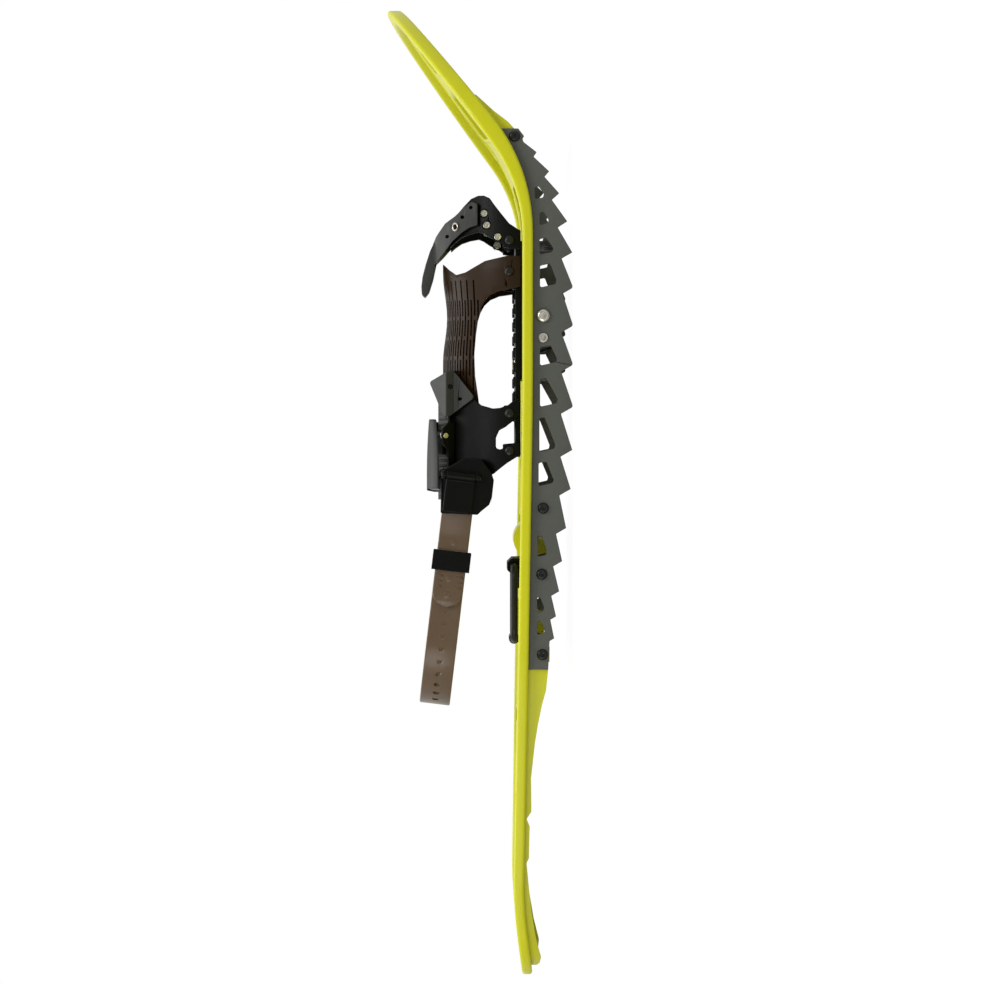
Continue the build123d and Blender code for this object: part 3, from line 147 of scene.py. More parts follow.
def linked(name: str, data: bpy.types.ID) -> Thing:
    """Link a mesh, camera or lamp to the scene as an object at the origin."""
    thing = bpy.data.objects.new(name, data)
    bpy.context.scene.collection.objects.link(thing)
    return thing


def mesh_from(name: str, points: list, faces: list, smooth: bool = True) -> Thing:
    """Make an object from points in metres and faces, with its normals turned outward."""
    mesh = bpy.data.meshes.new(name)
    mesh.from_pydata([tuple(p) for p in points], [], faces)
    form = bmesh.new()
    form.from_mesh(mesh)
    bmesh.ops.remove_doubles(form, verts=form.verts, dist=WELD_DISTANCE)
    bmesh.ops.recalc_face_normals(form, faces=form.faces)
    form.to_mesh(mesh)
    form.free()
    if smooth:
        mesh.shade_smooth()
    return linked(name, mesh)


def settle(thing: Thing) -> Thing:
    """Apply all modifiers of an object to its mesh."""
    bpy.context.view_layer.update()
    graph = bpy.context.evaluated_depsgraph_get()
    mesh = bpy.data.meshes.new_from_object(thing.evaluated_get(graph), depsgraph=graph)
    thing.modifiers.clear()
    thing.data = mesh
    mesh.name = thing.name
    return thing


def sharpen(thing: Thing, angle: float) -> Thing:
    """Mark the edges that turn more than an angle in degrees as sharp."""
    thing.data.set_sharp_from_angle(angle=radians(angle))
    return thing


def soften(thing: Thing, width: float) -> Thing:
    """Round the sharp edges of an object by a width in millimetres, as a mould leaves them."""
    bevel = thing.modifiers.new("edge", "BEVEL")
    bevel.width = width * MM
    bevel.segments = 2
    bevel.limit_method = "ANGLE"
    bevel.angle_limit = radians(EDGE_ANGLE)
    bevel.use_clamp_overlap = False
    bevel.miter_outer = "MITER_ARC"
    bevel.harden_normals = True
    normals = thing.modifiers.new("normals", "WEIGHTED_NORMAL")
    normals.keep_sharp = True
    return settle(thing)


def divide(thing: Thing, planes: list) -> Thing:
    """Cut the faces of an object along planes of (place in metres, normal), ready for a smooth bend."""
    form = bmesh.new()
    form.from_mesh(thing.data)
    for place, normal in planes:
        every = form.verts[:] + form.edges[:] + form.faces[:]
        bmesh.ops.bisect_plane(form, geom=every, dist=PLANE_DISTANCE, plane_co=place, plane_no=normal)
    form.to_mesh(thing.data)
    form.free()
    return thing


# ---- finishes
@dataclass(frozen=True)
class Finish:
    """A surface finish that is built once as a material.

    Attributes:
        label: Name of the material.
        colour: sRGB hex of the body colour.
        roughness: Middle roughness.
        grain_mm: Size of the surface grain.
        grain_depth: Strength of the grain's bump.
        mottle: Share by which the colour varies over the surface.
    """

    SOCKETS: ClassVar[dict] = {}
    CLOUD_MM: ClassVar[float] = 34.0
    CLOUD_SPAN: ClassVar[Point2] = (0.3, 0.7)
    ROUGH_DRIFT: ClassVar[float] = 0.14
    GRAIN_RISE: ClassVar[float] = 0.25

    label: str
    colour: str
    roughness: float
    grain_mm: float
    grain_depth: float
    mottle: float

    def sockets(self) -> dict:
        """Constants set on the shader's own sockets."""
        return self.SOCKETS

    def noise(self, tree: Tree, size: float, detail: float, roughness: float) -> Socket:
        """Noise over the object's own coordinates, with a size in millimetres."""
        place = add_node(tree, "ShaderNodeTexCoord").outputs["Object"]
        scale = 1 / (size * MM)
        noise = add_node(tree, "ShaderNodeTexNoise", Vector=place, Scale=scale, Detail=detail, Roughness=roughness)
        return noise.outputs["Fac"]

    def build(self) -> bpy.types.Material:
        """Return the material, made on first use."""
        found = bpy.data.materials.get(self.label)
        if found:
            return found
        material = bpy.data.materials.new(self.label)
        tree = empty_tree(material)
        grain = self.noise(tree, self.grain_mm, 2.0, 0.55)
        cloud = self.noise(tree, self.CLOUD_MM, 3.0, 0.6)
        low, high = (
            tuple(min(1.0, c * (1 + sign * self.mottle)) for c in linear(self.colour)) + (1.0,) for sign in (-1, 1)
        )
        shade = add_node(tree, "ShaderNodeMix", {"data_type": "RGBA"}, i0=cloud, i6=low, i7=high)
        levels = (self.roughness * (1 + sign * self.ROUGH_DRIFT) for sign in (-1, 1))
        rough = remap(tree, cloud, *levels, self.CLOUD_SPAN)
        rise = self.GRAIN_RISE * MM
        bump = add_node(tree, "ShaderNodeBump", Height=grain, Strength=self.grain_depth, Distance=rise)
        shader = add_node(
            tree,
            "ShaderNodeBsdfPrincipled",
            Base_Color=shade.outputs[2],
            Roughness=rough,
            Normal=bump.outputs["Normal"],
        )
        for name, value in self.sockets().items():
            shader.inputs[name].default_value = value
        add_node(tree, "ShaderNodeOutputMaterial", Surface=shader.outputs["BSDF"])
        return material


class MouldedPolypropylene(Finish):
    """Glossy injection-moulded polypropylene: an even body colour and a soft wide highlight."""

    SOCKETS = {"IOR": 1.49, "Coat Weight": 0.08, "Coat Roughness": 0.2, "Specular IOR Level": 0.3}


class PowderCoatedSteel(Finish):
    """Satin powder coat on stamped steel: a paint film, so it isn't metallic."""

    SOCKETS = {"IOR": 1.5, "Metallic": 0.0, "Specular IOR Level": 0.42}


class BrightSteel(Finish):
    """Turned and zinc-plated steel: clear reflections with a slight haze."""

    SOCKETS = {"Metallic": 1.0}


class BlackOxideSteel(Finish):
    """Black-oxide steel: nearly black, and half metallic as the oxide layer is thin."""

    SOCKETS = {"Metallic": 0.55}


class MouldedNylon(Finish):
    """Glass-filled nylon from a spark-eroded mould: black, satin, finely pebbled."""

    SOCKETS = {"IOR": 1.5, "Specular IOR Level": 0.11}


@dataclass(frozen=True)
class TranslucentUrethane(Finish):
    """Smoky thermoplastic polyurethane: a brown body that lets some light through.

    Attributes:
        clear: Share of the light that passes.
        gloss: Specular level.
    """

    clear: float
    gloss: float

    def sockets(self) -> dict:
        """Constants set on the shader's own sockets."""
        return {"IOR": 1.5, "Transmission Weight": self.clear, "Specular IOR Level": self.gloss}


LIME = MouldedPolypropylene("moulded_polypropylene_lime", "#c3c306", 0.4, 0.9, 0.10, 0.04)
RAIL_GREY = PowderCoatedSteel("powder_coated_steel_grey", "#4f514a", 0.4, 0.7, 0.16, 0.03)
CRAMPON_GREY = PowderCoatedSteel("powder_coated_steel_dark", "#33342f", 0.5, 0.7, 0.16, 0.05)
ZINC = BrightSteel("zinc_plated_steel", "#cfcbbd", 0.26, 0.5, 0.06, 0.05)
BLACK_OXIDE = BlackOxideSteel("black_oxide_steel", "#242422", 0.26, 0.5, 0.08, 0.06)
NYLON = MouldedNylon("moulded_nylon_black", "#060705", 0.38, 0.55, 0.22, 0.05)
NYLON_DARK = MouldedNylon("moulded_nylon_lever", "#333431", 0.34, 0.55, 0.14, 0.05)
SOFT_BLACK = MouldedNylon("soft_urethane_black", "#3a3b38", 0.44, 0.8, 0.16, 0.06)
SMOKE = TranslucentUrethane("translucent_urethane_smoke", "#705a44", 0.32, 1.2, 0.08, 0.08, 0.4, 0.3)
# Painted shade: the instep panel is the same smoky urethane as the heel strap, given a darker body and less light
# through to stand for the shade where it lies over its own far side.
SMOKE_PAINTED_SHADE = TranslucentUrethane("translucent_urethane_dark", "#2e1f10", 0.4, 1.2, 0.08, 0.10, 0.12, 0.08)
WIRE = BlackOxideSteel("coated_steel_wire", "#1a1b1a", 0.4, 0.6, 0.08, 0.05)

# Pieces that keep the shape of their CAD nodes: nodes, finish, body, slot and rounding of the edges.
RAILS = (
    ("rail_left rail_right pivot_brackets", RAIL_GREY, "shoe", "rail_steel", 0.25),
    ("pivot_axle", BLACK_OXIDE, "shoe", "bright_steel", 0.3),
)
BINDING_BASE = (
    ("binding_base", NYLON, "binding", "black_plastic", 0.5),
    ("crampon", CRAMPON_GREY, "binding", "crampon_steel", 0.25),
)
TOE_WINGS = (("toe_wing_left toe_wing_right", NYLON, "binding", "black_plastic", 0.7),)
REAR_WINGS = (("rear_wing_left rear_wing_right", NYLON, "binding", "black_plastic", 0.8),)
HEEL_BUCKLE = (
    ("buckle_body heel_anchor", NYLON, "binding", "black_plastic", 0.7),
    ("buckle_lid", NYLON, "buckle_lid", "black_plastic", 0.9),
    ("buckle_pins", BLACK_OXIDE, "binding", "black_bolt", 0.2),
)
HEEL_LIFTER = (
    ("heel_lifter", WIRE, "heel_lifter", "lifter_wire", 0.2),
    ("lifter_grip", NYLON, "heel_lifter", "black_plastic", 0.5),
    ("lifter_clips", NYLON, "shoe", "black_plastic", 0.4),
)


# ---- shared shapes
def ring_radius(radius: float, angle: float, sides: int) -> float:
    """Distance to the edge of a regular polygon at an angle, or the radius itself for a circle."""
    if not sides:
        return radius
    step = 2 * pi / sides
    return radius * cos(step / 2) / cos(angle % step - step / 2)


def lathe(name: str, profile: list, segments: int = 24) -> Thing:
    """Turn a profile round the Z axis.

    Args:
        name: Name of the object.
        profile: Rows of (radius, height) in millimetres between ends on the axis; a third value is
            the number of sides where the ring isn't round.
        segments: Faces round the axis.
    """
    points: list = []
    faces: list = []
    rings: list = []
    for radius, height, *sides in profile:
        start = len(points)
        if radius == 0:
            points.append((0.0, 0.0, height * MM))
        else:
            for step in range(segments):
                angle = 2 * pi * step / segments
                reach = ring_radius(radius, angle, sides[0] if sides else 0) * MM
                points.append((reach * cos(angle), reach * sin(angle), height * MM))
        rings.append(list(range(start, len(points))))
    for low, high in zip(rings, rings[1:]):
        for step in range(segments):
            after = (step + 1) % segments
            if len(low) == 1:
                faces.append((low[0], high[step], high[after]))
            elif len(high) == 1:
                faces.append((low[step], low[after], high[0]))
            else:
                faces.append((low[step], low[after], high[after], high[step]))
    return sharpen(mesh_from(name, points, faces), LATHE_ANGLE)


def ring_faces(count: int, width: int, start: int = 0, closed: bool = False) -> list:
    """Faces between rings of so many points each; when closed, the last ring joins the first."""
    faces = []
    for i in range(count if closed else count - 1):
        low, high = start + i * width, start + (i + 1) % count * width
        faces += [(low + k, low + (k + 1) % width, high + (k + 1) % width, high + k) for k in range(width)]
    return faces


def prism(name: str, outline: list, depth: float, smooth: bool = False) -> Thing:
    """A plate of the given outline in the XY plane, half its depth either side, in millimetres."""
    count = len(outline)
    points = [(x * MM, y * MM, high * depth / 2 * MM) for high in (-1, 1) for x, y in outline]
    faces = [tuple(range(count))[::-1], tuple(range(count, 2 * count)), *ring_faces(2, count)]
    return mesh_from(name, points, faces, smooth)


def stadium(length: float, width: float) -> list:
    """Outline of a slot with round ends along X."""
    steps = 3
    reach = (length - width) / 2
    outline = []
    for end in (1, -1):
        for step in range(steps + 1):
            angle = -pi / 2 + pi * step / steps
            outline.append((end * (reach + width / 2 * cos(angle)), end * width / 2 * sin(angle)))
    return outline


def rounded_path(corners: list, radius: float) -> list:
    """Points along a line of straight runs whose inner corners are arcs, in millimetres."""
    path = [corners[0]]
    for before, corner, after in zip(corners, corners[1:], corners[2:]):
        one = (Vector(before) - Vector(corner)).normalized()
        two = (Vector(after) - Vector(corner)).normalized()
        half = acos(max(-1.0, min(1.0, one.dot(two)))) / 2
        middle = Vector(corner) + (one + two).normalized() * (radius / sin(half))
        start = Vector(corner) + one * (radius / tan(half))
        end = Vector(corner) + two * (radius / tan(half))
        first = atan2(start.y - middle.y, start.x - middle.x)
        turn = (atan2(end.y - middle.y, end.x - middle.x) - first + pi) % (2 * pi) - pi
        count = max(2, ceil(abs(turn) * radius / ARC_STEP))
        for i in range(count + 1):
            angle = first + turn * i / count
            path.append((middle.x + radius * cos(angle), middle.y + radius * sin(angle)))
    path.append(corners[-1])
    return path


def spread(path: list, step: float) -> list:
    """The same path with points no further apart than a step."""
    result = [path[0]]
    for a, b in zip(path, path[1:]):
        count = max(1, ceil(hypot(b[0] - a[0], b[1] - a[1]) / step))
        for i in range(1, count + 1):
            result.append((a[0] + (b[0] - a[0]) * i / count, a[1] + (b[1] - a[1]) * i / count))
    return result


# ---- geometry node trees
class NodeTool:
    """A geometry node tree that is run on a mesh and leaves a plain result."""

    def __init__(self, name: str, inputs: dict) -> None:
        """Open the tree, with the kind of each input by its name."""
        self.tree = bpy.data.node_groups.new(name, "GeometryNodeTree")
        for label, kind in inputs.items():
            self.tree.interface.new_socket(label, in_out="INPUT", socket_type=f"NodeSocket{kind}")
        self.tree.interface.new_socket("Geometry", in_out="OUTPUT", socket_type="NodeSocketGeometry")
        self.given = add_node(self.tree, "NodeGroupInput").outputs

    def apply(self, name: str, mesh: bpy.types.Mesh, values: dict) -> Thing:
        """Run the tree on a mesh, with the value of each input by its name."""
        result = linked(name, mesh)
        modifier = result.modifiers.new("tool", "NODES")
        modifier.node_group = self.tree
        for socket in self.tree.interface.items_tree:
            if socket.in_out == "INPUT" and socket.name in values:
                modifier[socket.identifier] = values[socket.name]
        return settle(result)


class PatternTool(NodeTool):
    """Repeats one shape on the points of a mesh, or cuts it from a host there."""

    def __init__(self, name: str, cuts: bool) -> None:
        """Build the tree, which cuts the copies out of a host or else shows them."""
        super().__init__(name, {"Geometry": "Geometry", "Shape": "Object", "Host": "Object"})
        tree = self.tree
        vector = {"data_type": "FLOAT_VECTOR"}
        turn = add_node(tree, "GeometryNodeInputNamedAttribute", vector, Name="turn").outputs["Attribute"]
        scale = add_node(tree, "GeometryNodeInputNamedAttribute", vector, Name="scale").outputs["Attribute"]
        copies = add_node(
            tree,
            "GeometryNodeInstanceOnPoints",
            Points=self.given["Geometry"],
            Instance=add_node(tree, "GeometryNodeObjectInfo", Object=self.given["Shape"]).outputs["Geometry"],
            Rotation=add_node(tree, "FunctionNodeEulerToRotation", i0=turn).outputs[0],
            Scale=scale,
        )
        last = add_node(tree, "GeometryNodeRealizeInstances", Geometry=copies.outputs[0]).outputs[0]
        if cuts:
            host = add_node(tree, "GeometryNodeObjectInfo", Object=self.given["Host"])
            cut = add_node(tree, "GeometryNodeMeshBoolean", {"operation": "DIFFERENCE", "solver": "EXACT"})
            tree.links.new(host.outputs["Geometry"], cut.inputs["Mesh 1"])
            tree.links.new(last, cut.inputs["Mesh 2"])
            last = cut.outputs["Mesh"]
        add_node(tree, "NodeGroupOutput", Geometry=last)

    def run(self, name: str, shape: Thing, places: list, host: Optional[Thing] = None) -> Thing:
        """Repeat a shape on points and use it up.

        Args:
            name: Name of the result.
            shape: Object that is repeated.
            places: Rows of (place in metres, turn in radians) and a scale where it isn't 1.
            host: Object that the shapes are cut from.
        """
        cloud = bpy.data.meshes.new(name)
        cloud.from_pydata([tuple(row[0]) for row in places], [], [])
        turns = [float(v) for row in places for v in row[1]]
        scales = [float(v) for row in places for v in (row[2] if len(row) > 2 else (1, 1, 1))]
        for label, numbers in (("turn", turns), ("scale", scales)):
            cloud.attributes.new(label, "FLOAT_VECTOR", "POINT").data.foreach_set("vector", numbers)
        used = {"Shape": shape, "Host": host} if host else {"Shape": shape}
        result = self.apply(name, cloud, used)
        for spent in used.values():
            bpy.data.objects.remove(spent)
        return result


class CoilTool(NodeTool):
    """Winds one closed coil spring."""

    def __init__(self) -> None:
        """Build the tree."""
        sizes = {"Turns": "Float", "Radius": "Float", "Length": "Float", "Wire": "Float"}
        super().__init__("coil_spring", {"Geometry": "Geometry", **sizes})
        spiral = add_node(
            self.tree,
            "GeometryNodeCurveSpiral",
            Resolution=20,
            Rotations=self.given["Turns"],
            Start_Radius=self.given["Radius"],
            End_Radius=self.given["Radius"],
            Height=self.given["Length"],
        )
        wire = add_node(self.tree, "GeometryNodeCurvePrimitiveCircle", Resolution=8)
        self.tree.links.new(self.given["Wire"], wire.inputs["Radius"])
        lines = {"Curve": spiral.outputs[0], "Profile_Curve": wire.outputs[0]}
        coil = add_node(self.tree, "GeometryNodeCurveToMesh", Fill_Caps=True, **lines)
        add_node(self.tree, "NodeGroupOutput", Geometry=coil.outputs[0])

    def run(self, name: str, turns: float, radius: float, length: float, wire: float) -> Thing:
        """Wind a coil round the Z axis from the origin; radius, length and wire radius in millimetres."""
        sizes = {"Turns": turns, "Radius": radius * MM, "Length": length * MM, "Wire": wire * MM}
        return self.apply(name, bpy.data.meshes.new(name), sizes)


# ---- shared making
class Facing(Enum):
    """Turn of a shape whose own axis is Z, by the side of the shoe that it faces."""

    RIGHT = (pi / 2, 0.0, 0.0)
    LEFT = (-pi / 2, 0.0, 0.0)
    UP = (0.0, 0.0, 0.0)


PAIR = ((-1, Facing.RIGHT), (1, Facing.LEFT))


class Workshop:
    """The loaded frame and the tools that every sub-assembly needs."""

    def __init__(self, frame: dict) -> None:
        """Keep what the frame loader returned, and build the tools."""
        self.frame = frame
        self.repeat = PatternTool("repeat_on_points", False)
        self.cutter = PatternTool("cut_from_host", True)
        self.coil = CoilTool()

    def copy(self, node: str, name: str) -> Thing:
        """A copy of a CAD node's mesh under a new name, its doubles merged and flat areas joined."""
        form = bmesh.new()
        form.from_mesh(self.frame["nodes"][node].data)
        for layer in list(form.loops.layers.uv):
            form.loops.layers.uv.remove(layer)
        bmesh.ops.remove_doubles(form, verts=form.verts, dist=MERGE_DISTANCE)
        limits = {"angle_limit": radians(JOIN_ANGLE), "use_dissolve_boundaries": False}
        bmesh.ops.dissolve_limit(form, verts=form.verts, edges=form.edges, **limits)
        mesh = bpy.data.meshes.new(name)
        form.to_mesh(mesh)
        form.free()
        stale = mesh.attributes.get("custom_normal")
        if stale:
            mesh.attributes.remove(stale)
        mesh.shade_smooth()
        return sharpen(linked(name, mesh), EDGE_ANGLE)

    def dress(self, thing: Thing, finish: Finish, body: str, slot: str, *nodes: str) -> None:
        """Give a finished piece its material, body and the CAD nodes that it stands for.

        Args:
            thing: The finished piece.
            finish: Its finish.
            body: CAD body that it rides on.
            slot: Material slot of the record; not used.
            *nodes: CAD nodes that it replaces.
        """
        thing.data.materials.clear()
        thing.data.materials.append(finish.build())
        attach(thing, body)
        if nodes:
            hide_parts(*nodes)
        LOG.info("%s: %d faces on %s", thing.name, len(thing.data.polygons), body)

    def moulded(self, node: str, finish: Finish, body: str, slot: str, edge: float) -> None:
        """Replace a CAD node by its own shape, its edges rounded by a width in millimetres unless 0."""
        thing = self.copy(node, f"{node}_form")
        if edge:
            soften(thing, edge)
        self.dress(thing, finish, body, slot, node)

    def mouldings(self, rows: tuple) -> None:
        """Replace the CAD nodes of a table by their own shapes."""
        for nodes, *look in rows:
            for node in nodes.split():
                self.moulded(node, *look)

    def pierced(self, name: str, host: Thing, holes: tuple, y: float, reach: float) -> Thing:
        """Cut round holes across the shoe through a piece that is used up.

        Args:
            name: Name of the result.
            host: The piece.
            holes: Rows of (x, z, radius) in millimetres.
            y: Middle of the cuts.
            reach: Half the length of the cuts.
        """
        shape = lathe("hole_shape", [(0, -reach), (1, -reach), (1, reach), (0, reach)], HOLE_SIDES)
        rows = [((x * MM, y * MM, z * MM), Facing.RIGHT.value, (r, r, 1)) for x, z, r in holes]
        return self.cutter.run(name, shape, rows, host)


@dataclass
class Assembly:
    """A sub-assembly of the shoe, made with the tools of a workshop."""

    shop: Workshop


# ---- fasteners
@dataclass
class Fasteners(Assembly):
    """All screws, bolts and rivets of the shoe and its binding.

    Profiles run along the fastener's own axis, and height 0 lies under its head.
    """

    rail_out: float = 102.0
    bolts: tuple = ((-10.5, 19.1), (-52.6, 20.0), (-103.8, 19.6), (226.6, 37.4))
    axle: Point2 = (112.2, 19.1)
    rivet_x: float = 98.2
    base_high: float = 36.4
    base_rivets: tuple = ((84, 26), (84, -26), (140, 24), (140, -24))
    wing_fixings: tuple = ((163.0, 54.8), (50.5, 54.8), (26.0, 54.8), (143.0, 51.0))
    fixing_z: float = 40.2
    wing_head: float = 3.0
    lip_inner: float = 45.2
    wing_outer: float = 54.8
    toe_pins: tuple = ((180.6, 56.8), (173.0, 55.0), (165.2, 47.8))
    lifter_screws: tuple = ((-60.0, 15.0), (-60.0, -15.0))
    lifter_foot: float = 35.37

    def rolled(self, radius: float, height: float) -> float:
        """Distance from the centre line of a rolled sheet at a height above its centre."""
        return sqrt(radius**2 - height**2)

    def make(self, node: str, body: str, finish: Finish, profile: list, rows: list, up: bool = False) -> None:
        """Place the equal fasteners of one CAD node.

        Args:
            node: CAD node that they stand for.
            body: Body that they ride on.
            finish: Their finish.
            profile: Turned profile in millimetres.
            rows: Rows of (x, y, z) in millimetres; unless they point up, one of each row goes on
                either side of the shoe, at the distance y outward.
            up: Whether the heads point up.
        """
        sides = ((1, Facing.UP),) if up else PAIR
        places = [((x * MM, side * y * MM, z * MM), face.value) for side, face in sides for x, y, z in rows]
        result = self.shop.repeat.run(f"{node}_form", lathe(f"{node}_shape", profile), places)
        slot = "bright_steel" if finish is ZINC else "black_bolt"
        self.shop.dress(result, finish, body, slot, node)

    def rail_sets(self) -> None:
        """Socket bolts of the rails, domed axle screws and tubular anchor rivets."""
        bolt = [(0, -9.2), (1.7, -9.2), (2.0, -8.8), (2.0, 0), (3.45, 0), (3.6, 0.25), (3.5, 0.9), (3.15, 1.6)]
        bolt += [(2.6, 2.1), (2.1, 2.2), (1.5, 2.2, 6), (1.5, 0.8, 6), (0, 0.5)]
        self.make("rail_bolts", "shoe", BLACK_OXIDE, bolt, [(x, self.rail_out, z) for x, z in self.bolts])
        screw = [(0, -17), (2.3, -17), (2.5, -16.6), (2.5, 0), (4.4, 0), (4.6, 0.3), (4.55, 0.8), (4.2, 1.7)]
        screw += [(3.6, 2.4), (2.7, 2.75), (2.4, 2.8), (1.9, 2.7, 6), (1.9, 1.3, 6), (0, 1.0)]
        self.make("axle_screws", "shoe", ZINC, screw, [(self.axle[0], self.rail_out, self.axle[1])])
        rivet = [(0, -4.9), (1.3, -4.9), (1.5, -5.2), (3.0, -5.2), (3.2, -4.8), (3.1, -4.0), (2.4, -3.95)]
        rivet += [(2.4, 0), (3.1, 0), (3.2, 0.4), (2.9, 1.0), (2.2, 1.2), (1.6, 1.05), (1.3, 0.6), (1.3, -1.4)]
        rivet += [(0, -1.6)]
        self.make("anchor_rivets", "shoe", ZINC, rivet, [(self.rivet_x, self.rail_out, self.axle[1])])

    def wing_set(self) -> None:
        """Rivets that hold the wings and the instep panel to the lips of the base."""
        rise = self.fixing_z - BOOT_Z
        rows = []
        for x, outer in self.wing_fixings:
            rows.append((x, self.rolled(outer, rise - self.wing_head) + 0.02, self.fixing_z))
        back = self.rolled(self.lip_inner, rise + self.wing_head) - rows[0][1] - 0.05
        profile = [(0, back - 1.2), (2.6, back - 1.2), (3.0, back - 0.9), (3.0, back), (1.8, back), (1.8, 0)]
        profile += [(2.9, 0), (3.0, 0.25), (2.7, 0.75), (2.0, 1.1), (1.0, 1.2), (0, 1.2)]
        self.make("wing_rivets", "binding", BLACK_OXIDE, profile, rows)

    def build(self) -> None:
        """Make every set, and the nuts behind the rails."""
        self.rail_sets()
        self.wing_set()
        rivet = [(0, -7.7), (3.4, -7.6), (3.8, -7.2), (3.8, -5.4), (2.0, -5.4), (2.0, 0), (3.7, 0), (3.8, 0.3)]
        rivet += [(3.5, 0.9), (2.8, 1.4), (1.6, 1.6), (0, 1.6)]
        rows = [(x, y, self.base_high) for x, y in self.base_rivets]
        self.make("base_rivets", "binding", ZINC, rivet, rows, True)
        pin = [(0, -6.1), (2.2, -6.1), (2.4, -5.8), (2.4, -0.5), (2.1, -0.1), (1.4, 0), (1.2, -0.5), (0, -0.7)]
        rows = [(x, self.rolled(self.wing_outer, z - BOOT_Z) + 1.4, z) for x, z in self.toe_pins]
        self.make("toe_pins", "binding", ZINC, pin, rows)
        screw = [(0, -9.0), (1.3, -9.0), (1.5, -8.6), (1.5, 0), (2.75, 0), (2.8, 0.2), (2.6, 0.8), (2.0, 1.25)]
        screw += [(1.4, 1.3), (1.2, 1.2, 6), (1.2, 0.5, 6), (0, 0.4)]
        rows = [(x, y, self.lifter_foot) for x, y in self.lifter_screws]
        self.make("lifter_screws", "shoe", BLACK_OXIDE, screw, rows, True)
        self.shop.moulded("rail_nuts", BLACK_OXIDE, "shoe", "black_bolt", 0.3)


# ---- deck
@dataclass
class Deck(Assembly):
    """The moulded deck with raised beads round its openings."""

    WINDOWS: ClassVar[tuple] = (
        ((295, 5), (292, 22), (280, 30), (277, 5)),
        ((267, 7), (264, 46), (238, 62), (234, 7)),
        ((262, 56), (250, 76), (228, 86), (228, 72)),
        ((196, 71), (196, 88), (152, 88), (152, 71)),
        ((140, 71), (140, 88), (90, 88), (90, 71)),
        ((78, 71), (78, 88), (24, 88), (24, 71)),
        ((36, 9), (36, 56), (-12, 56), (-12, 9)),
        ((10, 68), (10, 88), (-14, 88), (-14, 68)),
        ((-54, 46), (-54, 86), (-72, 86), (-72, 46)),
        ((-106, 8), (-106, 76), (-146, 66), (-146, 8)),
        ((-160, 8), (-160, 62), (-202, 52), (-202, 8)),
        ((-216, 8), (-216, 50), (-254, 42), (-254, 8)),
        ((-268, 7), (-268, 38), (-294, 32), (-294, 7)),
    )
    SECTION: ClassVar[tuple] = (
        (-1.3, -0.5), (-1.3, 0.1), (-0.75, 0.7), (0, 0.9), (0.75, 0.7), (1.3, 0.1), (1.3, -0.5),
    )

    low: float = 25.7
    top: float = 4.6
    flat_x: float = 60.0
    crest: Point2 = (-268.0, 31.1)
    tail_long: float = 60.0
    tail_drop: float = 0.9
    tip_corner: float = 206.0
    tip_angle: float = 38.0
    tip_bend: float = 118.0
    bead_out: float = 3.25
    bead_corner: float = 4.0
    bead_step: float = 5.0

    def height(self, x: float) -> float:
        """Height of the deck's top panel at a forward position, in millimetres."""
        start = self.tip_corner - self.tip_bend * tan(radians(self.tip_angle / 2))
        if x > start:
            reach = min(x - start, self.tip_bend * sin(radians(self.tip_angle)))
            angle = asin(reach / self.tip_bend)
            past = x - start - reach
            return self.low + self.tip_bend * (1 - cos(angle)) + past * tan(angle) + self.top / cos(angle)
        if x > self.flat_x:
            return self.low + self.top
        rise = (self.flat_x - x) / (self.flat_x - self.crest[0])
        if x < self.crest[0]:
            rise = 1 - (self.crest[0] - x) / self.tail_long * self.tail_drop
        return self.low + rise * (self.crest[1] - self.low) + self.top

    def bead(self, corners: list) -> list:
        """Rings of points in metres along the raised bead round an opening, given in plan."""
        middle = sum((Vector(corner) for corner in corners), Vector((0, 0))) / len(corners)
        grown = []
        for corner in corners:
            away = Vector(corner) - middle
            grown.append(tuple(middle + away * (1 + self.bead_out / away.length)))
        start = tuple((Vector(grown[0]) + Vector(grown[-1])) / 2)
        path = spread(rounded_path([start, *grown, start], self.bead_corner), self.bead_step)[:-1]
        rings = []
        for i, here in enumerate(path):
            ahead = Vector(path[(i + 1) % len(path)]) - Vector(path[i - 1])
            side = Vector((ahead.y, -ahead.x)).normalized()
            ring = []
            for across, rise in self.SECTION:
                x, y = here[0] + side.x * across, here[1] + side.y * across
                ring.append((x * MM, y * MM, (self.height(x) + rise) * MM))
            rings.append(ring)
        return rings

    def beads(self) -> Thing:
        """One object with the beads of every opening, on both sides of the centre line."""
        points: list = []
        faces: list = []
        for corners in self.WINDOWS:
            for side in (1, -1):
                rings = self.bead([(x, side * y) for x, y in corners])
                faces += ring_faces(len(rings), len(self.SECTION), len(points), True)
                points += [point for ring in rings for point in ring]
        return mesh_from("deck_beads", points, faces)

    def build(self) -> None:
        """Make the deck and its beads."""
        self.shop.moulded("deck", LIME, "shoe", "deck_plastic", 0.0)
        self.shop.dress(self.beads(), LIME, "shoe", "deck_plastic")


